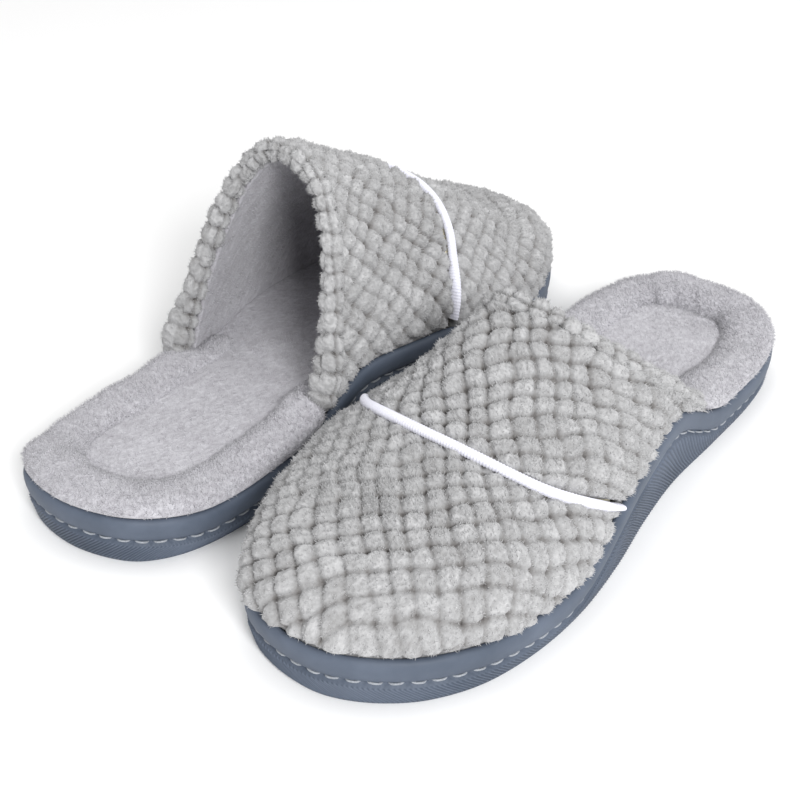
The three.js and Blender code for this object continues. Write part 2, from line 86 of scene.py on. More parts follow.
RIM_OUTSIDE = WALL_TOP - 0.2     # the heel rim's two sides, in from the outline
RIM_INSIDE = FOOT_INSET + RIM_WIDTH
GROOVE_BELOW_BAND = 0.7          # the stitched groove starts this far under the lip's band
GROOVE_BOTTOM = GROOVE_DEPTH + 0.7

# Each upper: where its collar's feet stand and how far the outer one is behind, how far
# the collar leans and how high it stands, where and how high the crest ends at the toe,
# how the crest crowns, spreads and shifts, how full the arches are, and the seam's place
UPPERS = {
    "right": dict(collar_foot=88.0, outer_step=6.0, collar_lean=57.0, collar_height=74.0,
                  crest_end=225.0, toe_height=45.5, crest_crown=-7.0, crest_spacing=1.5,
                  collar_fullness=1.3, toe_fullness=0.55, crest_shift=-5.0,
                  seam=0.264, seam_bow=0.124, seam_skew=0.099),
    "left": dict(collar_foot=91.0, outer_step=3.0, collar_lean=34.0, collar_height=99.0,
                 crest_end=218.0, toe_height=45.5, crest_crown=4.0, crest_spacing=2.2,
                 collar_fullness=1.0, toe_fullness=0.62, crest_shift=-4.0,
                 seam=0.32, seam_bow=0.0, seam_skew=0.0),
}

# Plan outline as shares of sole length and ball width, heel tip first
INNER_OUTLINE = [(0.011, 0.16), (0.037, 0.267), (0.09, 0.348), (0.17, 0.389),
                 (0.29, 0.393), (0.40, 0.39), (0.50, 0.416), (0.60, 0.457), (0.70, 0.479),
                 (0.79, 0.465), (0.87, 0.415), (0.93, 0.328), (0.968, 0.225), (0.992, 0.11)]
OUTER_OUTLINE = [(0.011, -0.16), (0.037, -0.267), (0.09, -0.342), (0.17, -0.373),
                 (0.28, -0.373), (0.36, -0.398), (0.45, -0.452), (0.55, -0.508),
                 (0.66, -0.524), (0.76, -0.48), (0.85, -0.413), (0.92, -0.346),
                 (0.968, -0.262), (0.992, -0.14)]

DETAIL = 1.0

# Surface detail in millimetres
# Popcorn bumps of the plush, centre to centre, along and across the knit of each piece
BUMP_PITCH = {"vamp": (6.4, 7.4), "toe": (6.9, 6.4), "collar": (7.0, 6.4)}
BUMP_DEPTH = 3.0          # from the bump tops down to the pits between them
BULGE = 5.0               # how far the soft plush stands out over the lip
TOE_BULGE = 1.0           # and how much further round the toe
RIM_OVERHANG = 2.6        # how far the heel rim leans out over the lip
PILE_GRAIN = 1.1          # clumps that the cut pile forms
GRID = 0.62               # spacing of the plush's points
BACK_GRID = 4.0           # the same on hidden backs
RIB_PITCH = 1.5           # moulded ribs on the side wall
RIB_DEPTH = 0.34
RIB_LEAN = 1.25           # how far the ribs run on round the sole for each mm up
SOLE_STEPS = 1840         # points round the outline
STITCH_PITCH = 6.5
STITCH_LENGTH = 5.0
NEEDLE_HOLE_DEPTH = 0.8
NEEDLE_HOLE_RADIUS = 0.7
TREAD_PITCH = 7.0
TREAD_DEPTH = 1.1
PATTERN_GRID = (32, 47)   # points along and across a panel when it is laid flat
FLATTEN_ROUNDS = 90
NUDGE = 0.004             # share or turn to a neighbouring place, to find directions
STRIP_TURNS = (0.012 * math.pi, 0.988 * math.pi)      # ends of a strip over the upper

# Starting numbers of each piece's random patterns and tufts, left and right
SEEDS = {"fleece_sock": (5, 6), "heel_rim_fleece": (15, 16), "vamp_plush": (131, 31),
         "toe_plush": (147, 47), "fleece_lining": (71, 72), "collar_plush": (91, 92)}


# ---- small number helpers ----------------------------------------------------------

def smooth(x, low, high):
    """Smoothstep: 0 below low, 1 above high, 3t^2 - 2t^3 between."""
    t = np.clip((x - low) / (high - low), 0.0, 1.0)
    return t * t * (3.0 - 2.0 * t)


def mix(a, b, t):
    return a + (b - a) * t


def hash_grid(i, j, seed):
    """A repeatable random number from 0 to 1 for each whole-number cell (i, j)."""
    h = np.sin(i * 127.1 + j * 311.7 + seed * 74.7) * 43758.5453
    return h - np.floor(h)


def value_noise(a, b, seed):
    """Smooth random field of cell size 1: cell corners hashed, blended by smoothstep."""
    i, j = np.floor(a), np.floor(b)
    u, v = smooth(a - i, 0, 1), smooth(b - j, 0, 1)
    low = mix(hash_grid(i, j, seed), hash_grid(i + 1, j, seed), u)
    high = mix(hash_grid(i, j + 1, seed), hash_grid(i + 1, j + 1, seed), u)
    return mix(low, high, v)


def layered_noise(a, b, seed, octaves=3):
    """Value noise at halving cell sizes and amplitudes, centred on 0."""
    total = np.zeros(np.broadcast(a, b).shape)
    for k in range(octaves):
        turn = 0.6 * (k + 1)
        ra = a * math.cos(turn) - b * math.sin(turn)
        rb = a * math.sin(turn) + b * math.cos(turn)
        total += (value_noise(ra * 2 ** k, rb * 2 ** k, seed + k) - 0.5) / 2 ** k
    return total


def unit(vectors):
    """The vectors along the last axis, each made 1 long."""
    return vectors / np.maximum(np.linalg.norm(vectors, axis=-1, keepdims=True), 1e-9)


def gaps(points, axis=0):
    """Distances between neighbouring points along an axis."""
    return np.linalg.norm(np.diff(points, axis=axis), axis=-1)


def travelled(lengths):
    """Distance of each point from the first one, from the gaps between them."""
    return np.r_[0, np.cumsum(lengths)]


def arc_lengths(grid, axis):
    """Distance of each point of a grid from the first one in its row or column."""
    first = np.take(grid, [0], axis)
    return np.cumsum(np.linalg.norm(np.diff(grid, axis=axis, prepend=first), axis=-1), axis=axis)


def where_each(mask, first, second):
    """Each array of "first" where the mask holds, and that of "second" elsewhere."""
    return tuple(np.where(mask.reshape(mask.shape + (1,) * (a.ndim - mask.ndim)), a, b)
                 for a, b in zip(first, second))


def seed_of(name, foot):
    return SEEDS[name][FEET.index(foot)]


# ---- outline and heights of the sole -----------------------------------------------

def height_along(table, x):
    """Height at x from [share of length, height] pairs, eased by smoothstep between them."""
    share = np.clip(x / SOLE_LENGTH, 0, 1)
    out = np.full(np.shape(share), float(table[0][1]))
    for (from_, low), (to, high) in zip(table[:-1], table[1:]):
        inside = share > from_
        out = np.where(inside, mix(low, high, smooth(share, from_, to)), out)
    return out


INNER_LIP = [(0, LIP_HEEL), (0.12, LIP_QUARTER), (0.27, LIP_QUARTER + 0.8), (0.43, LIP_ARCH),
             (0.55, LIP_ARCH - 2), (0.75, LIP_BALL), (1, LIP_TOE)]
OUTER_LIP = [(0, LIP_HEEL), (0.12, LIP_QUARTER), (0.75, LIP_BALL), (1, LIP_TOE)]


def trace_outline():
    """Closed Catmull-Rom spline through heel tip, inner side, toe tip and outer side.

    Returns, for each side, its dense points from heel tip to toe tip, their outward
    directions (the spline's tangent turned a quarter) and their lengths from the heel.
    """
    inner = [(u * SOLE_LENGTH, v * BALL_WIDTH) for u, v in INNER_OUTLINE]
    outer = [(u * SOLE_LENGTH, v * BALL_WIDTH) for u, v in OUTER_OUTLINE][::-1]
    knots = np.array([(0.0, 0.0), *inner, (SOLE_LENGTH, 0.0), *outer])
    count = len(knots)
    toe = len(inner) + 1
    sides = {}
    for side, span in (("inner", np.linspace(0, toe, 1200)),
                       ("outer", np.linspace(count, toe, 1200))):
        k = np.floor(span).astype(int)
        t = (span - k)[:, None]
        p0, p1, p2, p3 = (knots[(k + step) % count] for step in (-1, 0, 1, 2))
        leave, arrive = (p2 - p0) / 2, (p3 - p1) / 2
        points = (p1 + leave * t + (-3 * p1 + 3 * p2 - 2 * leave - arrive) * t ** 2
                  + (2 * p1 - 2 * p2 + leave + arrive) * t ** 3)
        along = unit(np.gradient(points, axis=0))
        turn = 1.0 if side == "inner" else -1.0
        out = np.stack([-along[:, 1] * turn, along[:, 0] * turn], axis=1)
        out[0], out[-1] = (-1, 0), (1, 0)
        lengths = travelled(gaps(points))
        sides[side] = dict(points=points, out=out, lengths=lengths, total=lengths[-1])
    return sides


SIDES = trace_outline()


def place_at(side, length):
    """Point, outward direction and lip height at lengths along a side from the heel tip."""
    s = SIDES[side]
    point, out = (np.stack([np.interp(length, s["lengths"], s[key][:, k]) for k in (0, 1)], -1)
                  for key in ("points", "out"))
    out = unit(out)
    lip = height_along(INNER_LIP if side == "inner" else OUTER_LIP, point[..., 0])
    return point, out, lip


def inset(point, out, distance, z):
    """The point moved in from the outline by distance, at height z."""
    flat = point - out * np.asarray(distance)[..., None]
    return np.concatenate([flat, np.broadcast_to(z, flat.shape[:-1])[..., None]], -1)


def length_at(side, x):
    s = SIDES[side]
    return float(np.interp(x, s["points"][:, 0], s["lengths"]))


def round_sole(ring):
    """Places round the whole outline at distances "ring", from the toe tip down the outer
    side to the heel and back up the inner side, repeating after one full turn."""
    outer, inner = SIDES["outer"]["total"], SIDES["inner"]["total"]
    ring = np.mod(ring, outer + inner)
    return where_each(ring < outer, place_at("outer", outer - np.minimum(ring, outer)),
                      place_at("inner", np.clip(ring - outer, 0, inner)))


AROUND = SIDES["outer"]["total"] + SIDES["inner"]["total"]


def bed_height(point, across):
    """Plush bed: level in the middle, raised by |2a - 1|^3 to just under the lip."""
    x = point[..., 0]
    middle = BED_HEIGHT - BED_TOE_DROP * smooth(x, SOLE_LENGTH * 0.4, SOLE_LENGTH * 0.7)
    lip = np.where(across < 0.5, height_along(OUTER_LIP, x), height_along(INNER_LIP, x))
    edge = np.maximum(lip - LIP_ABOVE_BED, middle)
    return mix(middle, edge, np.abs(2 * across - 1) ** 3)


# ---- from the slipper's frame to the shared one ------------------------------------

def own_origin(foot):
    """Where the slipper's own origin lies in the shared frame, in metres."""
    low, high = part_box(f"{foot}_outsole")
    inner_reach = SIDES["inner"]["points"][:, 1].max() * MM
    x = low[0] if foot == "left" else high[0]
    return np.array([x, low[1] + inner_reach, 0.0])


ORIGIN = {foot: own_origin(foot) for foot in FEET}
FORWARD = {"left": 1.0, "right": -1.0}


def place(foot, points):
    """Own frame to shared frame: x along or against +X, y turned to -Y, in metres."""
    turned = np.asarray(points, float) * np.array([FORWARD[foot], -1.0, 1.0]) * MM
    return turned + ORIGIN[foot]


# ---- meshes ------------------------------------------------------------------------

def welded(points, tris):
    """Joins points within a thousandth of a millimetre of each other, and leaves out the
    triangles that this closes up. Returns which points stay, and the triangles."""
    cells = np.round(points * 1000).astype(np.int64)
    _, kept, number = np.unique(cells, axis=0, return_index=True, return_inverse=True)
    a, b, c = number.ravel()[tris].T
    open_ = (a != b) & (b != c) & (a != c)
    return kept, np.stack([a, b, c], 1)[open_]


def make_piece(name, foot, points, faces, attributes=None):
    """A mesh object from points in the slipper's frame and triangles, which are turned for
    the mirrored foot. Attributes are one number per point, read by the materials."""
    corners = place(foot, points)
    if FORWARD[foot] > 0:
        faces = faces[:, ::-1]
    mesh = bpy.data.meshes.new(f"{foot}_{name}")
    mesh.vertices.add(len(corners))
    mesh.vertices.foreach_set("co", corners.ravel())
    mesh.loops.add(faces.size)
    mesh.loops.foreach_set("vertex_index", faces.ravel())
    mesh.polygons.add(len(faces))
    mesh.polygons.foreach_set("loop_start", np.arange(0, faces.size, 3))
    mesh.update(calc_edges=True)
    mesh.validate()
    for key, values in (attributes or {}).items():
        layer = mesh.attributes.new(key, "FLOAT", "POINT")
        layer.data.foreach_set("value", np.ravel(values).astype(float))
    mesh.polygons.foreach_set("use_smooth", np.full(len(mesh.polygons), True))
    piece = bpy.data.objects.new(f"{foot}_{name}", mesh)
    bpy.context.scene.collection.objects.link(piece)
    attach(piece, f"{foot}_slipper")
    return piece


def grid_faces(index, closed_rows=False):
    """Quads over a table of point numbers; closed_rows joins the last row to the first."""
    if closed_rows:
        index = np.vstack([index, index[:1]])
    quads = np.stack([index[:-1, :-1], index[1:, :-1], index[1:, 1:], index[:-1, 1:]], -1)
    return quads.reshape(-1, 4)


def triangles_only(faces):
    """Quads as triangles, leaving out any triangle with a doubled corner."""
    tris = np.vstack([faces[:, [0, 1, 2]], faces[:, [0, 2, 3]]])
    a, b, c = tris.T
    return tris[(a != b) & (b != c) & (a != c)]


def outward(points, faces):
    """Faces turned so that the body's signed volume is positive in the slipper's frame."""
    p = points[faces]
    volume = np.einsum("ij,ij->i", p[:, 0], np.cross(p[:, 1], p[:, 2])).sum()
    return faces if volume > 0 else faces[:, ::-1]


def tube(sections):
    """Points and triangles of a body through matching closed sections, (rows, sides, 3),
    with each end closed by a fan to its middle."""
    rows, sides, _ = sections.shape
    index = np.arange(rows * sides).reshape(rows, sides)
    index = np.hstack([index, index[:, :1]])
    faces = [grid_faces(index)]
    for middle, ring in ((rows * sides, index[0]), (rows * sides + 1, index[-1][::-1])):
        hub = np.full(sides, middle)
        faces.append(np.stack([hub, ring[:-1], ring[1:], hub], -1))
    points = np.vstack([sections.reshape(-1, 3), sections[[0, -1]].mean(axis=1)])
    return points, outward(points, triangles_only(np.vstack(faces)))


def zip_edges(a, b):
    """Triangles between two chains of point numbers of different lengths, each point of
    the longer one joined to the nearest place along the shorter one."""
    if len(a) < len(b):
        return zip_edges(b, a)[:, ::-1]
    long_, short = len(a) - 1, len(b) - 1
    nearest = np.floor((np.arange(long_) + 0.5) / long_ * short + 0.5).astype(int)
    switch = np.searchsorted(nearest, np.arange(short) + 1)
    over_long = np.stack([a[:-1], a[1:], b[nearest]], -1)
    over_short = np.stack([a[switch], b[1:], b[:-1]], -1)
    return np.vstack([over_long, over_short])


def shell(top, back, folds_at_end=False):
    """A closed body between a fine grid and a coarser one behind it, with walls joining
    their edges. With folds_at_end the last row lies on itself, so its two halves share
    their points and it needs no wall. Also returns which points were kept."""
    upper = np.arange(top[..., 0].size).reshape(top.shape[:2])
    lower = upper.size + np.arange(back[..., 0].size).reshape(back.shape[:2])
    if folds_at_end:
        for index in (upper, lower):
            middle = index.shape[1] // 2
            index[-1, middle + 1:] = index[-1, :middle][::-1]
    walls = [zip_edges(upper[0], lower[0]), zip_edges(lower[:, 0], upper[:, 0]),
             zip_edges(upper[:, -1], lower[:, -1])]
    if not folds_at_end:
        walls.append(zip_edges(lower[-1], upper[-1]))
    quads = np.vstack([grid_faces(upper), grid_faces(lower)[:, ::-1]])
    tris = np.vstack([triangles_only(quads), *walls])
    points = np.vstack([top.reshape(-1, 3), back.reshape(-1, 3)])
    kept, tris = np.unique(tris, return_inverse=True)
    points = points[kept]
    return points, outward(points, tris.reshape(-1, 3)), kept


def spline_weights(places, count):
    """Catmull-Rom weights that read a row of "count" values at fractional places."""
    i = np.clip(np.floor(places).astype(int), 0, count - 2)
    t = places - i
    weights = np.zeros((len(places), count))
    at = np.arange(len(places))
    for step, w in ((-1, (-t + 2 * t ** 2 - t ** 3) / 2), (0, 1 + (3 * t ** 3 - 5 * t ** 2) / 2),
                    (1, (t + 4 * t ** 2 - 3 * t ** 3) / 2), (2, (t ** 3 - t ** 2) / 2)):
        np.add.at(weights, (at, np.clip(i + step, 0, count - 1)), w)
    return weights


def regrid(table, rows, columns):
    """A (rows, columns, k) table read on an even grid of another size."""
    over_rows = spline_weights(np.linspace(0, table.shape[0] - 1, rows), table.shape[0])
    over_columns = spline_weights(np.linspace(0, table.shape[1] - 1, columns), table.shape[1])
    return np.einsum("ri,ijk,cj->rck", over_rows, table, over_columns, optimize=True)


def coarser(table, step):
    """The grid with points about "step" mm apart, an odd number of them across."""
    length = gaps(table[:, table.shape[1] // 2]).sum()
    width = gaps(table[table.shape[0] // 3]).sum()
    return regrid(table, max(int(length / step), 3), int(width / step) // 2 * 2 + 3)


# ---- upper -------------------------------------------------------------------------

def bowed_share(upper, share, turn):
    """How far along the upper a row lies at a turn: the seam bows towards the toe by
    sin(turn) and runs ahead towards the inner side, and other rows follow it less."""
    near = np.where(share < upper["seam"], share / upper["seam"],
                    (1 - share) / (1 - upper["seam"]))
    return share + near * (upper["seam_bow"] * np.sin(turn)
                           + upper["seam_skew"] * (1 - np.cos(turn)) / 2)


def upper_point(upper, share, turn):
    """A point on the outside of the upper.

    "share" runs from the collar's feet to the toe and "turn" over the arch, from the outer
    foot (0) to the inner foot (pi). Along each arch x eases to the crest with sin^1.1,
    y with 1 - |cos|^side fullness and z with sin^fullness.
    """
    share, turn = np.broadcast_arrays(share, turn)
    share = bowed_share(upper, share, turn)
    on_outer = turn <= math.pi / 2
    feet = []
    for side, step in (("outer", upper["outer_step"]), ("inner", 0.0)):
        start = length_at(side, upper["collar_foot"] + step)
        point, out, lip = place_at(side, mix(start, SIDES[side]["total"], share))
        feet.append(inset(point, out, np.full(share.shape, FOOT_INSET), lip))
    foot = np.where(on_outer[..., None], feet[0], feet[1])
    g = 1 - (1 - share) ** upper["crest_spacing"]
    crest_x = mix(upper["collar_foot"] + upper["collar_lean"], upper["crest_end"], g)
    crest_y = upper["crest_shift"] * (1 - g)
    crest_z = (mix(upper["collar_height"], upper["toe_height"], g)
               + 4 * upper["crest_crown"] * g * (1 - g))
    rise = np.clip(np.sin(turn), 0, 1)
    fullness = mix(upper["collar_fullness"], upper["toe_fullness"], g)
    return np.stack([
        mix(foot[..., 0], crest_x, rise ** 1.1),
        mix(foot[..., 1], crest_y, 1 - np.abs(np.cos(turn)) ** SIDE_FULLNESS),
        mix(foot[..., 2], crest_z, rise ** fullness),
    ], -1)


def puffed(point):
    """How far the soft plush stands out from the upper's surface at a point, in mm: it
    swells over the lip, most just above it, and dies away up the sides."""
    inner = smooth(point[..., 1], -15, 15)
    x = point[..., 0]
    lip = mix(height_along(OUTER_LIP, x), height_along(INNER_LIP, x), inner)
    above = point[..., 2] - lip
    rise = mix(0.85, 1.0, smooth(above, 0.5, 5)) * (1 - smooth(above, 8, 30))
    most = BULGE * mix(1.0, 0.8, inner) + TOE_BULGE * smooth(x, 150, 235)
    return most * rise * smooth(above, -2.5, 0.3)


TUCK_DROPS = np.array([-TUCK, -TUCK * 0.7, -TUCK * 0.45, -TUCK * 0.2])


def upper_grid(upper, first, last, step):
    """Rows of points over the upper from share "first" to share "last", about "step" mm
    apart. The turns are spread so that arc lengths are even, averaged over the rows, and
    each row begins and ends with points that run down inside the lip."""
    dense = np.linspace(0, math.pi, 803)[1:-1]
    trial = upper_point(upper, np.linspace(first, last, 9)[:, None], dense[None])
    arcs = arc_lengths(trial, 1)
    evenly = (arcs / arcs[:, -1:]).mean(0)
    lengths = gaps(trial).sum(0)
    half = int(arcs[:, -1].mean() / step / 2)
    crest = evenly[len(dense) // 2]
    spread = np.r_[np.linspace(0, crest, half + 1), np.linspace(crest, 1, half + 1)[1:]]
    turns = np.interp(spread, evenly, dense)
    shares = np.linspace(first, last, int(mix(lengths.mean(), lengths.max(), 0.5) / step))
    base = upper_point(upper, shares[:, None], turns[None])
    tucks = []
    for side, ahead, turn in (("outer", upper["outer_step"], 0.0), ("inner", 0.0, math.pi)):
        start = length_at(side, upper["collar_foot"] + ahead)
        feet = bowed_share(upper, shares, turn)
        point, out, lip = place_at(side, mix(start, SIDES[side]["total"], feet))
        tucks.append(np.stack([inset(point, out, np.full(len(shares), FOOT_INSET), lip + drop)
                               for drop in TUCK_DROPS], axis=1))
    return np.concatenate([tucks[0], base, tucks[1][:, ::-1]], axis=1)


def fold_over(grid):
    """Makes the two halves of the last row the same points."""
    middle = grid.shape[1] // 2
    grid[-1, middle + 1:] = grid[-1, :middle][::-1]
    return grid


def normals_of(grid, folds_at_end=False):
    """Outward unit directions of a grid made by upper_grid: the cross product of its two
    sets of gaps, easing to the level direction of the tucks near both feet, where rows
    may cross. On a folded last row both halves take the direction ahead and up."""
    normal = unit(np.cross(np.gradient(grid, axis=1), np.gradient(grid, axis=0)))
    if normal[normal.shape[0] // 2, normal.shape[1] // 2, 2] < 0:
        normal = -normal
    columns = np.arange(grid.shape[1])
    for edge, from_edge in ((0, columns), (-1, columns[::-1])):
        wall = normal[:, edge][:, None]
        trust = smooth(from_edge, len(TUCK_DROPS), len(TUCK_DROPS) + 9)[None, :, None]
        doubtful = (normal * wall).sum(-1, keepdims=True) < 0.2
        near = (from_edge < len(TUCK_DROPS) + 12)[None, :, None]
        trust = np.where(doubtful & near, 0.0, trust)
        normal = unit(mix(wall, normal, trust))
    if folds_at_end:
        normal[-1] = normal[-2] + normal[-2, ::-1] * np.array([1, -1, 1])
        normal[-1, :, 1] = 0
        normal[-1] = unit(normal[-1])
    return normal


def rough_layout(grid):
    """A first guess at a panel laid flat: arc lengths along its crest, and out along each
    arch in the direction that its foot lies in."""
    rows, columns, _ = grid.shape
    mid = columns // 2
    crest = travelled(gaps(grid[:, mid]))
    steps = gaps(grid, axis=1)
    reach = np.zeros((rows, columns))
    reach[:, mid + 1:] = np.cumsum(steps[:, mid:], axis=1)
    reach[:, :mid] = np.cumsum(steps[:, :mid][:, ::-1], axis=1)[:, ::-1]
    heading = unit(grid[:, [0, -1], :2] - grid[:, [mid], :2])
    flat = np.zeros((rows, columns, 2))
    flat[:, :mid] = heading[:, None, 0] * reach[:, :mid, None]
    flat[:, mid + 1:] = heading[:, None, 1] * reach[:, mid + 1:, None]
    flat[..., 0] += crest[:, None]
    return flat


def true_shapes(solid, tris):
    """Each triangle laid in a plane at its true shape, (triangles, 3, 2), and for each of
    its three corners the cotangent there, which weighs the side that faces it."""
    a, b, c = (solid[tris[:, k]] for k in range(3))
    base = np.linalg.norm(b - a, axis=1)
    tall = np.linalg.norm(np.cross(b - a, c - a), axis=1)
    foot = ((c - a) * (b - a)).sum(1) / base
    true = np.zeros((len(tris), 3, 2))
    true[:, 1, 0] = base
    true[:, 2] = np.stack([foot, tall / base], 1)
    weights = []
    for k in range(3):
        e, f = true[:, (k + 1) % 3] - true[:, k], true[:, (k + 2) % 3] - true[:, k]
        weights.append(np.clip((e * f).sum(1) / np.maximum(tall, 1e-6), 0.05, 8))
    return true, weights


def flatten_panel(grid, folds_at_end):
    """Lays a curved panel flat with as little stretch as it allows, as its pattern piece
    would lie, and turns it so that its length points along the slipper.

    Each round turns every triangle, at its true shape, to fit its present place best, then
    finds the places that agree best with all the turned triangles (cotangent weights).
    """
    rows, columns, _ = grid.shape
    flat = rough_layout(grid)
    index = np.arange(rows * columns).reshape(rows, columns)
    if folds_at_end:
        fold_over(index)
        flat[-1] = 0.5 * (flat[-1] + flat[-1, ::-1])
    kept, tris = np.unique(triangles_only(grid_faces(index)), return_inverse=True)
    tris = tris.reshape(-1, 3)
    laid = flat.reshape(-1, 2)[kept]
    true, weights = true_shapes(grid.reshape(-1, 3)[kept], tris)
    u, v = laid[tris[:, 1]] - laid[tris[:, 0]], laid[tris[:, 2]] - laid[tris[:, 0]]
    if (u[:, 0] * v[:, 1] - u[:, 1] * v[:, 0]).sum() < 0:
        true[..., 1] *= -1
    edges = [(tris[:, i], tris[:, j], true[:, i] - true[:, j], w)
             for i, j, w in zip((1, 2, 0), (2, 0, 1), weights)]
    system = np.zeros((len(kept), len(kept)))
    for i, j, _, w in edges:
        for p, q, sign in ((i, i, 1), (j, j, 1), (i, j, -1), (j, i, -1)):
            np.add.at(system, (p, q), sign * w)
    system[0, 0] += 1
    solve = np.linalg.inv(system)
    for _ in range(FLATTEN_ROUNDS):
        cos, sin = np.zeros(len(tris)), np.zeros(len(tris))
        for i, j, was, w in edges:
            now = laid[i] - laid[j]
            cos += w * (now * was).sum(1)
            sin += w * (now[:, 1] * was[:, 0] - now[:, 0] * was[:, 1])
        size = np.maximum(np.hypot(cos, sin), 1e-9)
        cos, sin = cos / size, sin / size
        pull = np.zeros_like(laid)
        pull[0] = laid[0]
        for i, j, was, w in edges:
            turned = np.stack([cos * was[:, 0] - sin * was[:, 1],
                               sin * was[:, 0] + cos * was[:, 1]], 1) * w[:, None]
            np.add.at(pull, i, turned)
            np.add.at(pull, j, -turned)
        laid = solve @ pull
    laid_all = np.zeros((rows * columns, 2))
    laid_all[kept] = laid
    laid = laid_all[index]
    gap = np.diff(laid, axis=0).reshape(-1, 2)
    plan = np.diff(grid[..., :2], axis=0).reshape(-1, 2)
    turn = math.atan2((gap[:, 0] * plan[:, 1] - gap[:, 1] * plan[:, 0]).sum(), (gap * plan).sum())
    cos, sin = math.cos(turn), math.sin(turn)
    return laid @ np.array([[cos, sin], [-sin, cos]])


def popcorn(a, b, pitch, seed):
    """Popcorn plush at cloth position (a, b) in mm: rounded square bumps, falling as the
    cube of the distance from their middle, parted by narrow furrows with a deep pit where
    four meet. The lattice wanders a little and each bump has its own height and tone.
    Returns the height, 0 in the pits to about 1 on the bumps, and the tone likewise, darkened in
    the furrows and pits as painted shade."""
    a, b = (a + 3.4 * layered_noise(a / 13, b / 13, seed, 2),
            b + 3.4 * layered_noise(a / 13 + 9, b / 13 + 5, seed + 3, 2))
    length, width = pitch
    i, j = np.floor(a / length), np.floor(b / width)
    u = np.abs(a / length - i - 0.5) * 2
    v = np.abs(b / width - j - 0.5) * 2
    half = min(pitch) / 2
    furrow = np.exp(-((1 - np.maximum(u, v)) * half / 0.55) ** 2)
    pit = np.exp(-((1 - u) ** 2 + (1 - v) ** 2) * (half / 1.0) ** 2)
    away = (u ** 2.6 + v ** 2.6) ** (1 / 2.6)
    own = hash_grid(i, j, seed + 11) - 0.5
    strength = np.clip(1 + 0.7 * layered_noise(a / 30, b / 30, seed + 21, 2), 0.75, 1.25)
    height = 1 + 0.3 * own - strength * (0.42 * away ** 2.4 + 0.16 * furrow + 0.16 * pit)
    # each bump's own random tone, minus painted shade in the furrows and in the pits
    tone = (0.82 + 0.16 * (hash_grid(i, j, seed + 17) - 0.5)
            - strength * (0.22 * furrow + 0.42 * pit))
    return np.clip(height, 0, 1.15), tone


def pile(a, b, seed):
    """Clumped pile: sharp-topped noise about 1 mm across over a finer layer, about -0.5..0.5."""
    a, b = a / PILE_GRAIN, b / PILE_GRAIN
    coarse = layered_noise(a, b, seed, 2)
    ridged = 0.5 - np.abs(layered_noise(a * 0.8 + 31, b * 0.8, seed + 5, 2)) * 2
    return 0.6 * coarse + 0.4 * (ridged - 0.25)


def tufts(points, normals, count, length, width, seed):
    """Short fibres standing on a surface: each is a slim closed spike of four faces from a
    small three-sided foot to a tip that leans at random. Points and normals are flat
    lists; "count" of them are drawn, with jitter between neighbours left to the caller."""
    rng = np.random.default_rng(seed)
    pick = rng.integers(0, len(points), count)
    base, up = points[pick], normals[pick]
    lean = rng.normal(size=(count, 3))
    lean = unit(lean - (lean * up).sum(1, keepdims=True) * up)
    side = np.cross(up, lean)
    tall = length * rng.uniform(0.5, 1.1, (count, 1))
    tip = base + tall * (up + rng.uniform(0.2, 0.9, (count, 1)) * lean)
    foot = base - 0.3 * up
    half = width / 2
    corners = [foot + half * (math.cos(t) * lean + math.sin(t) * side)
               for t in (0, 2 * math.pi / 3, 4 * math.pi / 3)]
    vertices = np.stack([*corners, tip], axis=1).reshape(-1, 3)
    n = np.arange(count)[:, None] * 4
    faces = np.vstack([n + np.array(f) for f in ((0, 1, 3), (1, 2, 3), (2, 0, 3), (0, 2, 1))])
    return vertices, faces


# Tufts on each piece: how many, their length and their width in mm
TUFTS = {"fleece_sock": (6000, 1.0, 0.3), "heel_rim_fleece": (14000, 1.4, 0.34),
         "vamp_plush": (11000, 1.1, 0.42), "toe_plush": (11000, 1.1, 0.42),
         "fleece_lining": (5000, 1.2, 0.3), "collar_plush": (5000, 1.1, 0.42)}


def furry_piece(name, foot, points, tris, values, roots, facing):
    """A closed body with tufts standing on it, each of its own chance paleness, all set paler than
    the surface as painted light over the tufts' own shading, and with a paler tip."""
    seed = seed_of(name, foot)
    count, length, width = TUFTS[name]
    count = int(count * DETAIL ** 2)
    spikes, spike_faces = tufts(roots, facing, count, length, width, seed)
    rng = np.random.default_rng(seed + 1)
    # chance paleness, lifted above the surface's tone as painted light over the tufts' shaded
    # sides
    tone = np.repeat(rng.uniform(0.85, 1.1, count), 4)
    tone[3::4] += 0.1
    faces = np.vstack([tris, spike_faces + len(points)])
    return make_piece(name, foot, np.vstack([points, spikes]), faces,
                      {"nap": np.concatenate([values, tone])})


# ---- materials ---------------------------------------------------------------------

def srgb(code):
    """An sRGB hex colour as linear RGBA."""
    parts = [int(code[k:k + 2], 16) / 255 for k in (1, 3, 5)]
    linear = [c / 12.92 if c <= 0.04045 else ((c + 0.055) / 1.055) ** 2.4 for c in parts]
    return (*linear, 1.0)


def node(tree, kind, settings=None, inputs=None, stops=()):
    """Adds one node, sets its settings, sets or links its inputs by name or number, and
    gives a colour ramp its (position, hex colour) stops."""
    made = tree.nodes.new(kind)
    for key, value in (settings or {}).items():
        setattr(made, key, value)
    for key, value in (inputs or {}).items():
        socket = made.inputs[key]
        if isinstance(value, bpy.types.NodeSocket):
            tree.links.new(value, socket)
        else:
            socket.default_value = value
    for k, (position, code) in enumerate(stops):
        elements = made.color_ramp.elements
        stop = elements[k] if k < len(elements) else elements.new(position)
        stop.position, stop.color = position, srgb(code)
    return made


def new_material(name, **shader):
    """A named material with its shader; numbers given here go on the shader's own sockets."""
    material = bpy.data.materials.new(name)
    material.use_nodes = True
    tree = material.node_tree
    tree.nodes.clear()
    surface = node(tree, "ShaderNodeBsdfPrincipled", inputs=shader)
    output = node(tree, "ShaderNodeOutputMaterial")
    tree.links.new(surface.outputs[0], output.inputs[0])
    return material, tree, surface


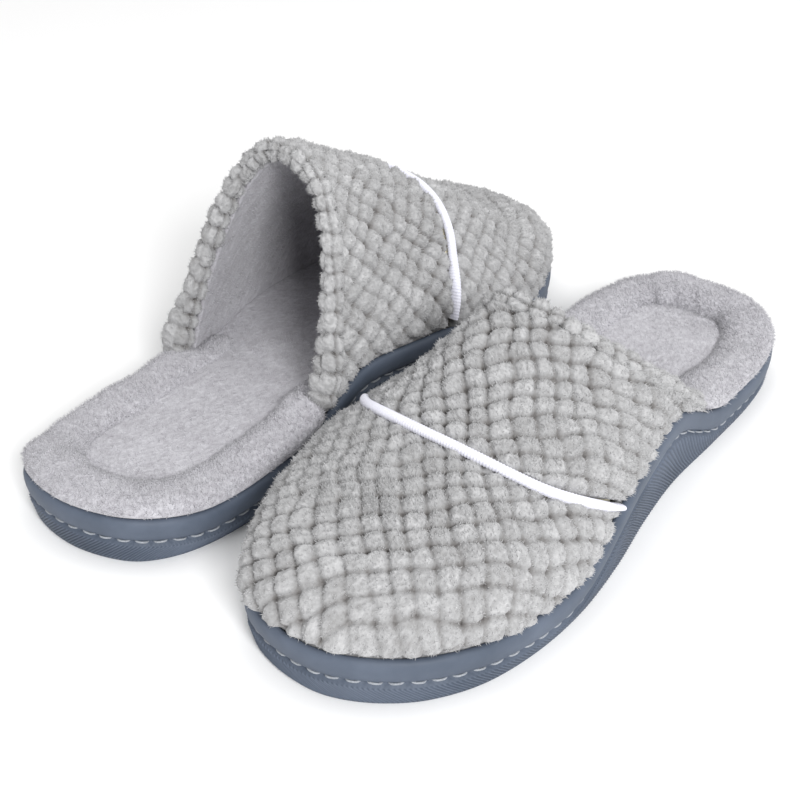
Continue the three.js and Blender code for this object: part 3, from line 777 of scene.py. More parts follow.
def per_mm(size):
    """Noise scale on Object coordinates, in metres, for a grain of that many millimetres."""
    return 1.0 / (size * MM)


def shade(tree, surface, tone, stops, relief, strength, depth):
    """Gives a shader its colour, read from a tone between the stops, and its fine relief,
    which stands out by depth mm."""
    colour = node(tree, "ShaderNodeValToRGB", inputs={"Fac": tone}, stops=stops)
    bump = node(tree, "ShaderNodeBump", inputs={
        "Height": relief, "Strength": strength, "Distance": depth * MM})
    tree.links.new(colour.outputs["Color"], surface.inputs["Base Color"])
    tree.links.new(bump.outputs[0], surface.inputs["Normal"])


def plush_material(name, dark, pit, low, high, sheen, grain=0.5, patch=14.0):
    """Dyed polyester pile: no gloss, a pale sheen at grazing angles, dark where the tone is low,
    which on the popcorn is painted shade in its furrows and pits and on the fleece the pile's own
    grain, and brushed patches where it leans one way or the other."""
    material, tree, surface = new_material(
        name, **{"Roughness": 1.0, "Specular IOR Level": 0.15, "Sheen Weight": sheen,
                 "Sheen Roughness": 0.45, "Sheen Tint": srgb("#f2f2f4")})
    here = node(tree, "ShaderNodeTexCoord").outputs["Object"]
    # nap holds the pile's tone and, on the popcorn, its painted shade in the furrows and pits
    depth = node(tree, "ShaderNodeAttribute", {"attribute_name": "nap"}).outputs["Fac"]
    fine = node(tree, "ShaderNodeTexNoise", inputs={
        "Vector": here, "Scale": per_mm(grain), "Detail": 3.0, "Roughness": 0.7}).outputs["Fac"]
    clumps = node(tree, "ShaderNodeTexNoise", inputs={
        "Vector": here, "Scale": per_mm(patch), "Detail": 3.0, "Roughness": 0.6}).outputs["Fac"]
    speck = node(tree, "ShaderNodeMath", {"operation": "MULTIPLY_ADD"},
                 {0: fine, 1: 0.42, 2: depth}).outputs[0]
    level = node(tree, "ShaderNodeMath", {"operation": "MULTIPLY_ADD"},
                 {0: clumps, 1: 0.34, 2: speck}).outputs[0]
    tone = node(tree, "ShaderNodeMath", {"operation": "SUBTRACT"},
                {0: level, 1: 0.42}).outputs[0]
    shade(tree, surface, tone, [(0.0, dark), (0.32, pit), (0.72, low), (1.0, high)],
          fine, 0.7, 0.6)
    return material


def rubber_material():
    """Moulded thermoplastic rubber: satin, a faint mottled bloom and a fine mould texture."""
    material, tree, surface = new_material(
        "moulded_rubber", **{"Roughness": 0.5, "IOR": 1.5, "Specular IOR Level": 0.3})
    here = node(tree, "ShaderNodeTexCoord").outputs["Object"]
    bloom = node(tree, "ShaderNodeTexNoise", inputs={
        "Vector": here, "Scale": per_mm(30), "Detail": 4.0, "Roughness": 0.6}).outputs["Fac"]
    # the rib attribute paints light on the rib tops and shade between the ribs
    ribs = node(tree, "ShaderNodeAttribute", {"attribute_name": "rib"}).outputs["Fac"]
    level = node(tree, "ShaderNodeMath", {"operation": "MULTIPLY_ADD"},
                 {0: ribs, 1: 0.5, 2: bloom}).outputs[0]
    grain = node(tree, "ShaderNodeTexNoise", inputs={
        "Vector": here, "Scale": per_mm(0.5), "Detail": 2.0}).outputs["Fac"]
    rough = node(tree, "ShaderNodeMapRange", inputs={
        "Value": bloom, "To Min": 0.5, "To Max": 0.68}).outputs[0]
    tree.links.new(rough, surface.inputs["Roughness"])
    shade(tree, surface, level, [(0.25, "#3b4350"), (0.6, "#4c5563"), (0.95, "#5f6877")],
          grain, 0.25, 0.15)
    return material


def fibre_material(name, low, high, grain, gloss=0.2, sheen=0.3):
    """Spun or knitted thread: two close shades along the fibres and a soft sheen."""
    material, tree, surface = new_material(
        name, **{"Roughness": 0.75, "Specular IOR Level": gloss, "Sheen Weight": sheen})
    here = node(tree, "ShaderNodeTexCoord").outputs["Object"]
    fibres = node(tree, "ShaderNodeTexNoise", inputs={
        "Vector": here, "Scale": per_mm(grain), "Detail": 3.0, "Roughness": 0.65}).outputs["Fac"]
    shade(tree, surface, fibres, [(0.3, low), (0.7, high)], fibres, 0.5, 0.2)
    return material


def cell_material(name, low, high, cell, roughness):
    """Foam or pressed fibre: fine cells or flecks in two shades."""
    material, tree, surface = new_material(name, **{"Roughness": roughness})
    here = node(tree, "ShaderNodeTexCoord").outputs["Object"]
    cells = node(tree, "ShaderNodeTexVoronoi", inputs={
        "Vector": here, "Scale": per_mm(cell)}).outputs["Distance"]
    shade(tree, surface, cells, [(0.0, low), (0.7, high)], cells, 0.4, 0.3)
    return material


# Polyester pile knitted into bumps: matt, pale on the tops, with painted shade darkening the
# furrows and pits between them
POPCORN = plush_material("popcorn_plush", "#464240", "#7d7b7a", "#a4a4a5", "#c1c1c2", 0.25,
                         grain=0.9)
# Polyester fleece with a short brushed nap: an even, cool lilac grey with faint clouds
FLEECE = plush_material("brushed_fleece", "#75727a", "#9c999f", "#b9b8bd", "#d0cfd4", 0.3,
                        grain=0.8, patch=12.0)
# Thermoplastic rubber, injection moulded: slate grey and satin, with painted light and shade on
# the ribs, paler on their tops and darker between them
RUBBER = rubber_material()
# Waxed polyester sewing thread: tight pale floats that catch a little gloss
THREAD = fibre_material("waxed_thread", "#7f848b", "#b1b5bb", 0.4, gloss=0.4, sheen=0.0)
# Bleached cotton rib knit: the whitest piece, with thin shadows between its ribs
RIB_KNIT = fibre_material("white_rib_knit", "#d5d5e4", "#f3f3fb", 0.35)
# Polyurethane foam, cut from a block: cream, open cells, no gloss at all
SOFT_FOAM = cell_material("cut_foam", "#cfc6a4", "#ece6cf", 0.8, 0.95)
# EVA foam, moulded: grey fine cells under a slightly smoother skin
CLOSED_FOAM = cell_material("moulded_closed_foam", "#767c86", "#969ca6", 0.6, 0.8)
# Cellulose board, pressed: tan with short pale flecks
FIBRE_BOARD = cell_material("pressed_fibre_board", "#a58c68", "#c2aa84", 0.5, 0.85)


def finish_piece(piece, material, stands_for):
    """Gives a piece its material and hides the CAD part that it stands for."""
    piece.data.materials.append(material)
    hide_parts(stands_for)


# ---- sole --------------------------------------------------------------------------

def groove_middle(lip):
    return lip - LIP_BAND - GROOVE_BELOW_BAND - GROOVE_WIDTH / 2


def wall_profile(lip):
    """Wall from the underside edge up the outside, over the lip and down inside, as lists of
    distance in from the outline and height; the same corners as the CAD wall, rounded."""
    half = GROOVE_WIDTH / 2
    middle, deep = groove_middle(lip), GROOVE_BOTTOM
    one = np.ones_like(lip)
    return [
        (FLARE + EDGE_ROUND, 0 * one), (FLARE + 0.35, 0.4 * one), (FLARE, EDGE_ROUND * one),
        (mix(FLARE, 1.0, 0.33), mix(EDGE_ROUND, middle - half - 0.5, 0.33)),
        (mix(FLARE, 1.0, 0.66), mix(EDGE_ROUND, middle - half - 0.5, 0.66)),
        (1.0, middle - half - 0.6), (1.25, middle - half - 0.2), (deep - 0.3, middle - half * 0.7),
        (deep, middle - half * 0.2), (deep, middle + half * 0.5), (1.3, middle + half * 0.95),
        (0.62, lip - LIP_BAND + 0.1), (0.2, lip - LIP_BAND * 0.75), (0.0, lip - LIP_BAND * 0.5),
        (0.0, lip - 2.2), (0.25, lip - 1.1), (0.8, lip - 0.4), (1.5, lip - 0.05), (2.2, lip - 0.1),
        (2.8, lip - 0.45), (WALL_TOP, lip - 0.9), (WALL_TOP, lip - TUCK - 0.5),
        (FLARE + WALL_FOOT, FLOOR_THICKNESS * one),
    ]


# Corners of the wall profile, counted from the underside, that carry ribs or the groove
RIBBED_ROWS = (2, 3, 4, 5)
GROOVE_ROWS = (8, 9)


def sole_wall(start):
    """The wall's points, (steps round, levels up), and their painted light and shade on the
    ribs, paler on the rib tops and darker between them: the profile carried round the outline.
    Ribs sin(2 pi s / pitch) stand on the lower wall, where each level starts a little further
    on, so they lean, and the groove has its needle holes."""
    rib_count, stitches = round(AROUND / RIB_PITCH), round(AROUND / STITCH_PITCH)
    rib = 0.5 + 0.5 * np.sin(2 * math.pi * rib_count * start / AROUND)
    _, _, lip0 = round_sole(start)
    heights = [np.broadcast_to(z, lip0.shape) for _, z in wall_profile(lip0)]
    rows, rib_light_and_shade = [], []
    for k, (inward, _) in enumerate(wall_profile(lip0)):
        lean = RIB_LEAN * (heights[min(k, RIBBED_ROWS[-1])] - EDGE_ROUND)
        ring = start + np.maximum(lean, 0)
        point, out, lip = round_sole(ring)
        z = wall_profile(lip)[k][1] * np.ones_like(lip)
        distance = np.full(len(start), float(inward))
        if k in RIBBED_ROWS:
            distance += RIB_DEPTH * (rib - 0.5) * 2
        if k in GROOVE_ROWS:
            phase = np.mod(ring * stitches / AROUND, 1.0)
            hole = np.minimum(phase, 1 - phase) * AROUND / stitches
            distance += NEEDLE_HOLE_DEPTH * np.exp(-(hole / NEEDLE_HOLE_RADIUS) ** 2)
        rows.append(inset(point, out, distance, z))
        # painted light on the rib tops and painted shade between the ribs; an even 0.5 elsewhere
        rib_light_and_shade.append(np.where(k in RIBBED_ROWS, 1 - rib, 0.5))
    return np.stack(rows, axis=1), np.stack(rib_light_and_shade, axis=1)


def sole_strips(side_a, side_b, steps, tread):
    """Points in strips from one side of the sole to the other. With tread, wavy cross
    grooves are cut in, except near the edge, the ends and the waist."""
    t = np.linspace(0, 1, steps + 1)[None, 1:-1, None]
    points = mix(side_a[:, None], side_b[:, None], t)
    if tread:
        x, y = points[..., 0], points[..., 1]
        wave = np.sin(2 * math.pi * (x + 3.5 * np.sin(y / 9.0)) / TREAD_PITCH)
        width = np.linalg.norm(side_a - side_b, axis=1)[:, None]
        to_edge = np.minimum(t[..., 0], 1 - t[..., 0]) * width
        to_end = np.minimum(x, SOLE_LENGTH - x)
        keep = smooth(to_edge, 5.0, 8.0) * smooth(to_end, 12.0, 16.0)
        waist = 1 - smooth(x, 88, 96) * (1 - smooth(x, 128, 136))
        points[..., 2] += TREAD_DEPTH * smooth(wave, 0.1, 0.6) * keep * waist
    return points


def outsole(foot):
    """Cup sole: the ribbed wall, closed by the tread under it and by its floor inside."""
    wall, rib_light_and_shade = sole_wall(np.arange(SOLE_STEPS) * AROUND / SOLE_STEPS)
    levels = wall.shape[1]
    index = np.arange(SOLE_STEPS * levels).reshape(SOLE_STEPS, levels)
    faces, points, extra = [grid_faces(index, closed_rows=True)], [wall.reshape(-1, 3)], [rib_light_and_shade]
    total, half = index.size, SOLE_STEPS // 2
    for level, steps, under in ((0, 26, True), (levels - 1, 4, False)):
        first = index[:half + 1, level]
        second = np.r_[index[0, level], index[half:, level][::-1]]
        strips = sole_strips(points[0][first], points[0][second], steps, under)
        numbers = total + np.arange(strips[..., 0].size).reshape(strips.shape[:2])
        table = np.hstack([first[:, None], numbers, second[:, None]])
        faces.append(grid_faces(table) if under else grid_faces(table)[:, ::-1])
        points.append(strips.reshape(-1, 3))
        extra.append(np.full(numbers.size, 0.5))
        total += numbers.size
    points = np.vstack(points)
    joined, tris = welded(points, triangles_only(np.vstack(faces)))
    points, rib_light_and_shade = points[joined], np.concatenate([e.ravel() for e in extra])[joined]
    # the rib attribute carries the painted light and shade on the side wall's ribs
    piece = make_piece("rubber_outsole", foot, points, outward(points, tris), {"rib": rib_light_and_shade})
    finish_piece(piece, RUBBER, f"{foot}_outsole")


def side_stitches(foot):
    """One thread float for each stitch: a slim capsule along the groove whose ends dive
    into the needle holes. The middle line follows the groove; its depth is a cosine arch."""
    stitches = round(AROUND / STITCH_PITCH)
    pitch = AROUND / stitches
    steps, sides = 9, 7
    t = np.linspace(-1, 1, steps)
    ring = (np.arange(stitches)[:, None] + 0.5) * pitch + t[None] * STITCH_LENGTH / 2
    point, out, lip = round_sole(ring)
    middle = groove_middle(lip)
    slant = 0.25 * np.sin(np.arange(stitches) * 2.4)[:, None]
    depth = GROOVE_BOTTOM - 0.6 + 0.85 * np.abs(t[None]) ** 3 + 0 * ring
    radius = 0.36 * np.sqrt(np.clip(1 - (np.abs(t) * 0.97) ** 6, 0.05, 1))[None] + 0 * ring
    turn = np.linspace(0, 2 * math.pi, sides, endpoint=False)
    around_in = depth[..., None] - radius[..., None] * np.cos(turn)
    around_up = (middle + slant * t)[..., None] + radius[..., None] * np.sin(turn)
    flat = point[:, :, None] - out[:, :, None] * around_in[..., None]
    sections = np.concatenate([flat, around_up[..., None]], -1)
    floats = [tube(stitch) for stitch in sections]
    size = len(floats[0][0])
    points = np.vstack([p for p, _ in floats])
    tris = np.vstack([t + size * k for k, (_, t) in enumerate(floats)])
    piece = make_piece("side_stitches", foot, points, tris)
    finish_piece(piece, THREAD, f"{foot}_side_stitch")


# ---- bed and heel rim --------------------------------------------------------------

def quilt_line(a, b, start, end, width):
    """1 on a sewn line from start to end, fading over its width."""
    direction = np.array(end, float) - np.array(start, float)
    length = np.linalg.norm(direction)
    direction /= length
    ra, rb = a - start[0], b - start[1]
    along = ra * direction[0] + rb * direction[1]
    away = np.abs(ra * direction[1] - rb * direction[0])
    beyond = np.maximum(np.maximum(-along, along - length), 0)
    return np.exp(-((away ** 2 + beyond ** 2) / width ** 2))


# Sewn lines across the heel half of the sock: from, to, width, how far they pull in
QUILT_LINES = (((40, 16), (44, -17), 1.3, 1.0), ((74, 17), (79, -16), 1.3, 1.0),
               ((106, 10), (110, -22), 1.2, 0.8))


def fleece_height(a, b, seed):
    """Short brushed pile: clumps a millimetre across and slow swells where it is pressed."""
    return 0.42 * pile(a, b, seed) + 0.55 * layered_noise(a / 14, b / 14, seed + 20, 2)


def insole_sock(foot):
    """Fleece sock on the foam: a grid across the bed at bed height plus its pile, its edge
    rolled down, with faint sewn lines across the heel half."""
    seed = seed_of("fleece_sock", foot)
    rows, columns = 300, 110
    x = np.linspace(0, 1, rows)
    ring = {}
    for side in ("outer", "inner"):
        total = SIDES[side]["total"]
        point, out, lip = place_at(side, x * total)
        heel = 1 - smooth(point[:, 0], 70, 96)
        edge = mix(FOOT_INSET + UPPER_THICKNESS - 0.5, FOOT_INSET + RIM_WIDTH - 2.0, heel)
        ring[side] = inset(point, out, edge, 0 * lip)
    t = np.linspace(0, 1, columns)
    top = mix(ring["outer"][:, None], ring["inner"][:, None], t[None, :, None])
    a, b = top[..., 0], top[..., 1]
    across = np.broadcast_to(t[None], a.shape)
    z = bed_height(top, across)
    span = np.linalg.norm(ring["outer"] - ring["inner"], axis=1)[:, None]
    to_edge = np.minimum(across, 1 - across) * span
    to_end = np.minimum(a - a.min(), a.max() - a)
    rolled = np.clip(1 - np.minimum(to_edge, to_end) / 2.0, 0, 1)
    sewn = sum(pull * quilt_line(a, b, start, end, width)
               for start, end, width, pull in QUILT_LINES)
    nap = np.clip(0.70 + pile(a, b, seed) * 0.5 + 0.10 * sewn, 0, 1)
    z = z + fleece_height(a, b, seed) - 0.3 * sewn - 1.2 * rolled ** 2
    top = np.concatenate([top[..., :2], z[..., None]], -1)
    bottom = top.copy()
    bottom[..., 2] = bed_height(top, across) - SOCK_THICKNESS + 0.1
    bottom = coarser(bottom, BACK_GRID)
    points, tris, kept = shell(top, bottom)
    values = np.concatenate([nap.ravel(), np.full(bottom[..., 0].size, 0.4)])[kept]
    joined, tris = welded(points, tris)
    points, values = points[joined], values[joined]
    heel = a < 130
    upright = np.broadcast_to([0.0, 0.0, 1.0], top.shape)
    piece = furry_piece("fleece_sock", foot, points, tris, values, top[heel], upright[heel])
    finish_piece(piece, FLEECE, f"{foot}_insole_sock")


def rim_section(lip, seat, turns):
    """Padded roll: an egg-shaped closed section, (distance in, height), steep on the outside
    and falling gently to the sock, with a flat foot on the foam, and leaning out over the
    lip above it."""
    crown = lip + RIM_HEIGHT - 1.0
    low = np.minimum(seat, lip - 2.0)
    c, s = np.cos(turns), np.sin(turns)
    across = 0.5 - 0.5 * np.sign(c) * np.abs(c) ** 0.85
    skewed = across ** 1.18
    distance = mix(RIM_OUTSIDE, RIM_INSIDE, skewed)
    foot = mix(low, seat, across)
    height = np.where(s >= 0, foot + (crown - foot) * np.abs(s) ** 0.72, foot + 0.6 * s)
    distance = distance - RIM_OVERHANG * (1 - across) ** 2 * smooth(height - lip, -0.3, 1.3)
    return distance, height


def heel_rim(foot):
    """The plush rim: the padded section carried round the heel. Near the collar it slides
    in behind the lining and sinks towards the sock, and its ends round off inside the
    upper. It has pile, tufts, and slow swells in its width."""
    upper = UPPERS[foot]
    seed = seed_of("heel_rim_fleece", foot)
    collar = (length_at("outer", upper["collar_foot"] + upper["outer_step"]),
              length_at("inner", upper["collar_foot"]))
    inside_upper = 16.0
    steps, sides = int(520 * DETAIL), int(104 * DETAIL)
    run = np.linspace(-collar[0] - inside_upper, collar[1] + inside_upper, steps)
    outer = place_at("outer", np.clip(-run, 0, None))
    inner = place_at("inner", np.clip(run, 0, None))
    point, out, lip = where_each(run < 0, outer, inner)
    turns = np.linspace(0, 2 * math.pi, sides, endpoint=False)[None]
    across = np.where(run < 0, 0.12, 0.88)
    seat = (bed_height(point, across) - SOCK_THICKNESS + 0.4)[:, None]
    past = np.where(run < 0, -run - collar[0], run - collar[1])[:, None]
    slid = smooth(past, -6.0, 3.0)
    lip = mix(lip[:, None], seat + SOCK_THICKNESS - RIM_HEIGHT + 2.5, slid)
    distance, height = rim_section(lip, seat, turns)
    narrowed = FOOT_INSET + UPPER_THICKNESS + 0.6
    behind = (narrowed + (distance - RIM_OUTSIDE) * (RIM_INSIDE + 2 - narrowed)
              / (RIM_INSIDE - RIM_OUTSIDE))
    distance = mix(distance, behind, slid)
    taper = np.sqrt(np.clip(1 - (1 - np.clip(-(past - inside_upper) / 6.0, 0, 1)) ** 2, 0.02, 1))
    centre_d, centre_z = distance.mean(1, keepdims=True), height.mean(1, keepdims=True)
    distance = centre_d + (distance - centre_d) * taper
    height = centre_z + (height - centre_z) * taper
    flat = point[:, None] - out[:, None] * distance[..., None]
    base = np.concatenate([flat, height[..., None]], -1)
    along = np.gradient(base, axis=0)
    over = np.roll(base, -1, axis=1) - np.roll(base, 1, axis=1)
    normal = unit(np.cross(along, over))
    if normal[steps // 2, sides // 4, 2] < 0:
        normal = -normal
    arc = np.cumsum(np.linalg.norm(np.diff(base, axis=1, append=base[:, :1]), axis=2), axis=1)
    a = run[:, None] + 0 * arc
    grain = pile(a, arc, seed)
    swell = 1.5 * layered_noise(a / 16, arc / 16, seed + 8, 3)
    upward = smooth(normal[..., 2], -0.5, 0.2)
    points = base + normal * ((0.5 * grain + swell) * upward)[..., None]
    body, tris = tube(points)
    tone = np.r_[np.clip(0.70 + 0.5 * grain, 0, 1).ravel(), 0.5, 0.5]
    shown = upward > 0.6
    piece = furry_piece("heel_rim_fleece", foot, body, tris, tone, points[shown], normal[shown])
    finish_piece(piece, FLEECE, f"{foot}_heel_rim_cover")


# ---- plush panels ------------------------------------------------------------------

LATTICE_TURN = {"right": math.radians(36), "left": math.radians(40)}


def plush_panel(foot, part):
    """One panel of popcorn plush: the upper's surface, sunk by the depth of the popcorn
    pattern and its pile, with a smooth back and short leaning tufts. The pattern is read
    from the panel laid flat, so its bumps keep their size over the toe."""
    upper = UPPERS[foot]
    seed = seed_of(f"{part}_plush", foot)
    seam = upper["seam"]
    seam_gap = 0.011
    ends = {"vamp": (0.0, seam - seam_gap), "toe": (seam + seam_gap, 1.0)}[part]
    folds = part == "toe"
    fine = upper_grid(upper, *ends, GRID / DETAIL)
    rows, columns = fine.shape[:2]
    coarse = regrid(fine, *PATTERN_GRID)
    cloth = regrid(flatten_panel(fold_over(coarse) if folds else coarse, folds), rows, columns)
    turn = LATTICE_TURN[foot]
    a = cloth[..., 0] * math.cos(turn) + cloth[..., 1] * math.sin(turn)
    b = -cloth[..., 0] * math.sin(turn) + cloth[..., 1] * math.cos(turn)
    if folds:
        a, b = fold_over(a), fold_over(b)
    normal = normals_of(fine, folds)
    height, tone = popcorn(a, b, BUMP_PITCH[part], seed)
    grain = pile(a, b, seed + 2)
    to_seam = np.arange(rows)[:, None] if folds else rows - 1 - np.arange(rows)[:, None]
    row_size = gaps(fine[:, columns // 2]).mean()
    pinched = np.clip(1 - to_seam * row_size / 4.0, 0, 1) ** 2
    sunk = BUMP_DEPTH * (1 - height) - 1.1 * grain + 1.2 * pinched
    tucks = len(TUCK_DROPS)
    open_ = smooth(np.minimum(np.arange(columns), columns - 1 - np.arange(columns)),
                   tucks - 1.5, tucks + 2.5)[None]
    slow = 1.1 * layered_noise(a / 26, b / 26, seed + 9, 2)
    top = fine + normal * ((slow + puffed(fine) - sunk + 0.15) * open_ - 0.15)[..., None]
    back = coarser(fine - normal * PLUSH_THICKNESS, BACK_GRID)
    if folds:
        fold_over(top), fold_over(back)
    points, tris, kept = shell(top, back, folds)
    # the popcorn tone keeps its painted shade in the furrows and pits; the grain is the pile's own
    tone = np.clip(tone + 0.30 * grain, 0, 1)
    values = np.concatenate([tone.ravel(), np.full(back[..., 0].size, 0.3)])[kept]
    shown = np.broadcast_to(open_ > 0.5, height.shape) & (height > 0.45)
    piece = furry_piece(f"{part}_plush", foot, points, tris, values, top[shown], normal[shown])
    finish_piece(piece, POPCORN, f"{foot}_{part}_panel")


def upper_lining(foot):
    """Fleece lining: the upper's surface moved in by the layers over it, with short pile on
    the side towards the foot."""
    seed = seed_of("fleece_lining", foot)
    fine = upper_grid(UPPERS[foot], 0.0, 1.0, 1.0 / DETAIL)
    normal = normals_of(fine, True)
    over, along = arc_lengths(fine, 1), arc_lengths(fine, 0)
    grain = pile(along, over, seed)
    swell = layered_noise(along / 15, over / 15, seed + 4, 2)
    sunk = UPPER_THICKNESS + 0.2 + 0.5 * grain + 0.6 * swell
    inner = fold_over(fine - normal * sunk[..., None])
    outer = fold_over(coarser(fine - normal * LINING_DEPTH, BACK_GRID))
    points, tris, kept = shell(inner, outer, True)
    tone = np.clip(0.7 + 0.5 * grain, 0, 1)
    values = np.concatenate([tone.ravel(), np.full(outer[..., 0].size, 0.5)])[kept]
    inward = slice(8, -8)
    piece = furry_piece("fleece_lining", foot, points, tris, values,
                        inner[:60, inward].reshape(-1, 3), -normal[:60, inward].reshape(-1, 3))
    finish_piece(piece, FLEECE, f"{foot}_lining")


def strip_frame(over, along):
    """For a strip laid across the upper: the direction away from the foot at each place,
    and the strip's own direction, from its gaps and from gaps towards the toe."""
    normal = unit(np.cross(over, along))
    if normal[len(normal) // 2, 2] < 0:
        normal = -normal
    return normal, unit(over)


def collar_edge(foot):
    """Popcorn plush turned over the collar: an oval section carried along the collar, with
    bumps all round its outside."""
    upper = UPPERS[foot]
    seed = seed_of("collar_plush", foot)
    steps, sides = 520, 64
    turns = np.linspace(*STRIP_TURNS, steps)
    row = upper_point(upper, np.zeros(steps), turns)
    ahead = upper_point(upper, np.full(steps, NUDGE), turns)
    before = upper_point(upper, np.zeros(steps), np.clip(turns - NUDGE, 1e-4, None))
    after = upper_point(upper, np.zeros(steps), np.clip(turns + NUDGE, None, math.pi - 1e-4))
    along = ahead - row
    normal, over = strip_frame(after - before, along)
    eased = np.pad(normal, ((12, 12), (0, 0)), mode="edge")
    normal = np.stack([np.convolve(eased[:, k], np.ones(25) / 25, "valid") for k in range(3)], 1)
    normal = unit(normal - (normal * over).sum(1, keepdims=True) * over)
    back = np.cross(normal, over)
    if (back[steps // 2] * along[steps // 2]).sum() > 0:
        back = -back
    drops = np.linspace(0.9, 5.4, 6)[:, None] * np.array([0, 0, -1.0])
    row = np.vstack([(row[0] + drops)[::-1], row, row[-1] + drops])
    normal, back = (np.pad(a, ((6, 6), (0, 0)), mode="edge") for a in (normal, back))
    puff = puffed(row)[:, None]
    half_thick = (UPPER_THICKNESS / 2 + 0.1 + puff / 2)[..., None]
    centre = row + back * (COLLAR_ROLL / 2 - 0.2) + normal * (puff - UPPER_THICKNESS) / 2
    spin = np.linspace(0, 2 * math.pi, sides, endpoint=False)[None, :, None]
    reach = COLLAR_ROLL / 2 + 0.9
    c, s = np.cos(spin), np.sin(spin)
    out = back[:, None] * c * reach + normal[:, None] * s * half_thick
    section = centre[:, None] + out
    facing = out / np.linalg.norm(out, axis=-1, keepdims=True)
    arc = travelled(gaps(row))[:, None]
    round_ = np.linspace(0, 2 * math.pi, sides, endpoint=False)[None] * (reach + 3.9) / 2
    a, b = np.broadcast_arrays(arc, round_)
    height, tone = popcorn(a, b + 2.0, BUMP_PITCH["collar"], seed)
    grain = pile(a, b, seed + 1)
    lift = BUMP_DEPTH * (height - 0.8) + 0.7 * grain
    ends = np.minimum(arc, arc[-1] - arc)
    fade = smooth(ends, 3.0, 7.0)
    points = section + facing * (lift * fade)[..., None]
    body, tris = tube(points)
    # the popcorn tone keeps its painted shade in the furrows and pits; the grain is the pile's own
    values = np.r_[np.clip(tone + 0.3 * grain, 0, 1).ravel(), 0.4, 0.4]
    piece = furry_piece("collar_plush", foot, body, tris, values, points.reshape(-1, 3),
                        facing.reshape(-1, 3))
    finish_piece(piece, POPCORN, f"{foot}_collar_edge")


def piping(foot):
    """Rib-knit piping over the seam: an oval section carried along the arch of the seam,
    swollen by sin(2 pi s / 1 mm) ribs and narrowing towards both ends."""
    upper = UPPERS[foot]
    steps, sides = 900, 18
    turns = np.linspace(*STRIP_TURNS, steps)
    seam = upper["seam"]
    row = upper_point(upper, np.full(steps, seam), turns)
    ahead = upper_point(upper, np.full(steps, seam + NUDGE), turns)
    behind = upper_point(upper, np.full(steps, seam - NUDGE), turns)
    normal, over = strip_frame(np.gradient(row, axis=0), ahead - behind)
    side = np.cross(normal, over)
    puff = puffed(row)
    arc = travelled(gaps(row))
    ends = np.minimum(arc, arc[-1] - arc)
    width = mix(1.2, PIPING_WIDTH / 2 - 0.15, smooth(ends, 0, 14)) - 0.1
    ribs = 0.08 * np.sin(2 * math.pi * arc / 1.1)
    spin = np.linspace(0, 2 * math.pi, sides, endpoint=False)[None, :, None]
    c = np.sign(np.cos(spin)) * np.abs(np.cos(spin)) ** 0.8
    s = np.sign(np.sin(spin)) * np.abs(np.sin(spin)) ** 0.9
    half_high = 1.5 + puff / 2
    centre = row + normal * (puff - half_high + 0.2)[:, None]
    points = centre[:, None] + side[:, None] * c * (width + ribs)[:, None, None] \
        + normal[:, None] * s * (half_high + ribs)[:, None, None]
    body, tris = tube(points)
    piece = make_piece("seam_piping", foot, body, tris)
    finish_piece(piece, RIB_KNIT, f"{foot}_piping")


# ---- hidden layers keep their CAD solids -------------------------------------------

HIDDEN = {"midsole": CLOSED_FOAM, "insole_board": FIBRE_BOARD, "memory_foam": SOFT_FOAM,
          "heel_rim_foam": SOFT_FOAM, "interlining": SOFT_FOAM}


def dress_hidden(foot):
    for name, material in HIDDEN.items():
        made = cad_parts[f"{foot}_{name}"]
        made.data.materials.clear()
        made.data.materials.append(material)


# ---- the pair ----------------------------------------------------------------------

for foot in FEET:
    outsole(foot)
    side_stitches(foot)
    insole_sock(foot)
    heel_rim(foot)
    plush_panel(foot, "vamp")
    plush_panel(foot, "toe")
    upper_lining(foot)
    collar_edge(foot)
    piping(foot)
    dress_hidden(foot)


# ---- floor, light and camera -------------------------------------------------------

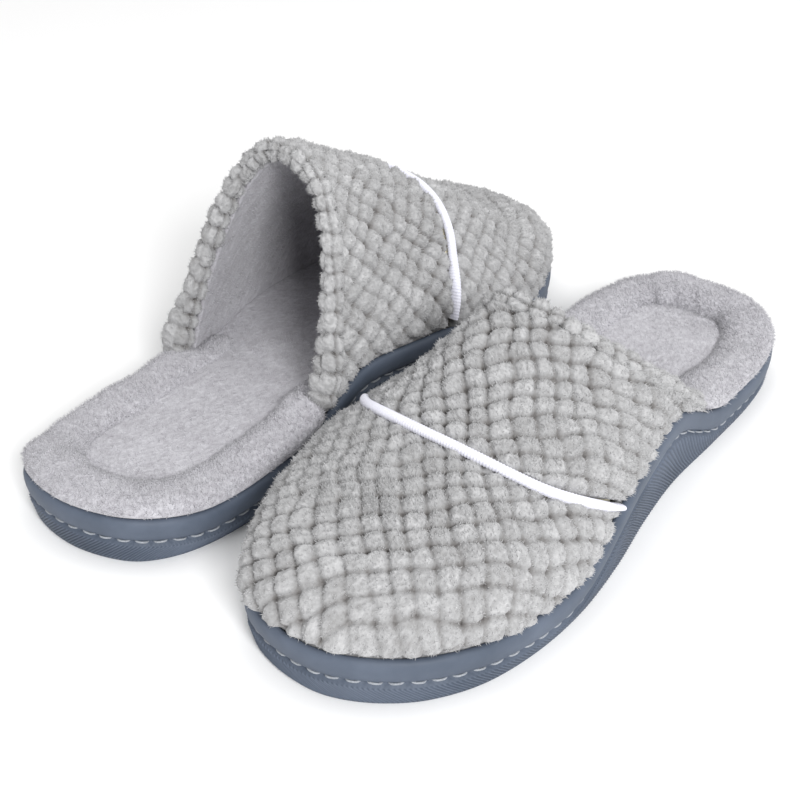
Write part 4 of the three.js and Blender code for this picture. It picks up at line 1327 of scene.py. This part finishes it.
def studio():
    """A broad white floor, a pale surround and three soft lamps."""
    size = 4.0
    mesh = bpy.data.meshes.new("studio_floor")
    corners = [(-size, -size, 0), (size, -size, 0), (size, size, 0), (-size, size, 0)]
    mesh.from_pydata(corners, [], [(0, 1, 2, 3)])
    floor = bpy.data.objects.new("studio_floor", mesh)
    bpy.context.scene.collection.objects.link(floor)
    material, _, _ = new_material("white_sweep", **{
        "Base Color": srgb("#fbfbfb"), "Roughness": 0.9, "Specular IOR Level": 0.1})
    mesh.materials.append(material)
    world = bpy.data.worlds.new("studio")
    bpy.context.scene.world = world
    world.use_nodes = True
    world.node_tree.nodes["Background"].inputs[0].default_value = srgb("#ffffff")
    world.node_tree.nodes["Background"].inputs[1].default_value = 0.48
    lamps = (("key", (-0.85, -1.1, 0.9), 0.45, 23.0), ("fill", (0.9, -0.9, 0.7), 1.0, 3.5),
             ("top", (0.1, 0.3, 1.6), 1.3, 9.0))
    for name, where, width, power in lamps:
        data = bpy.data.lights.new(name, "AREA")
        data.energy, data.size = power, width
        lamp = bpy.data.objects.new(name, data)
        lamp.location = where
        lamp.rotation_euler = look_rotation(where, (0, 0, 0.03))
        bpy.context.scene.collection.objects.link(lamp)


def look_rotation(here, there):
    """Euler turn of a lamp or camera at here that looks at there, level with the floor."""
    aim = np.array(there, float) - np.array(here, float)
    flat = math.hypot(aim[0], aim[1])
    return (math.atan2(flat, -aim[2]), 0.0, math.atan2(-aim[0], aim[1]))


CAMERA_AZIMUTH = math.radians(-54.1)
CAMERA_ELEVATION = math.radians(32.3)
CAMERA_DISTANCE = 0.574
CAMERA_LENS = 68.8
AIM_FROM_PAIR = np.array([0.01045, 0.01787])    # aim point from midway between the soles


def camera():
    middle = sum(ORIGIN[foot][:2] + np.array([FORWARD[foot] * SOLE_LENGTH / 2 * MM, 0])
                 for foot in FEET) / 2
    aim = np.array([*(middle + AIM_FROM_PAIR), 0.0])
    level = np.array([math.sin(CAMERA_AZIMUTH), -math.cos(CAMERA_AZIMUTH)])
    back = level * math.cos(CAMERA_ELEVATION)
    where = aim + CAMERA_DISTANCE * np.array([*back, math.sin(CAMERA_ELEVATION)])
    data = bpy.data.cameras.new("camera")
    data.lens = CAMERA_LENS
    data.clip_start = 0.01
    made = bpy.data.objects.new("camera", data)
    made.location = where
    made.rotation_euler = look_rotation(where, aim)
    bpy.context.scene.collection.objects.link(made)
    bpy.context.scene.camera = made


studio()
camera()
bpy.context.scene.view_settings.view_transform = "Standard"
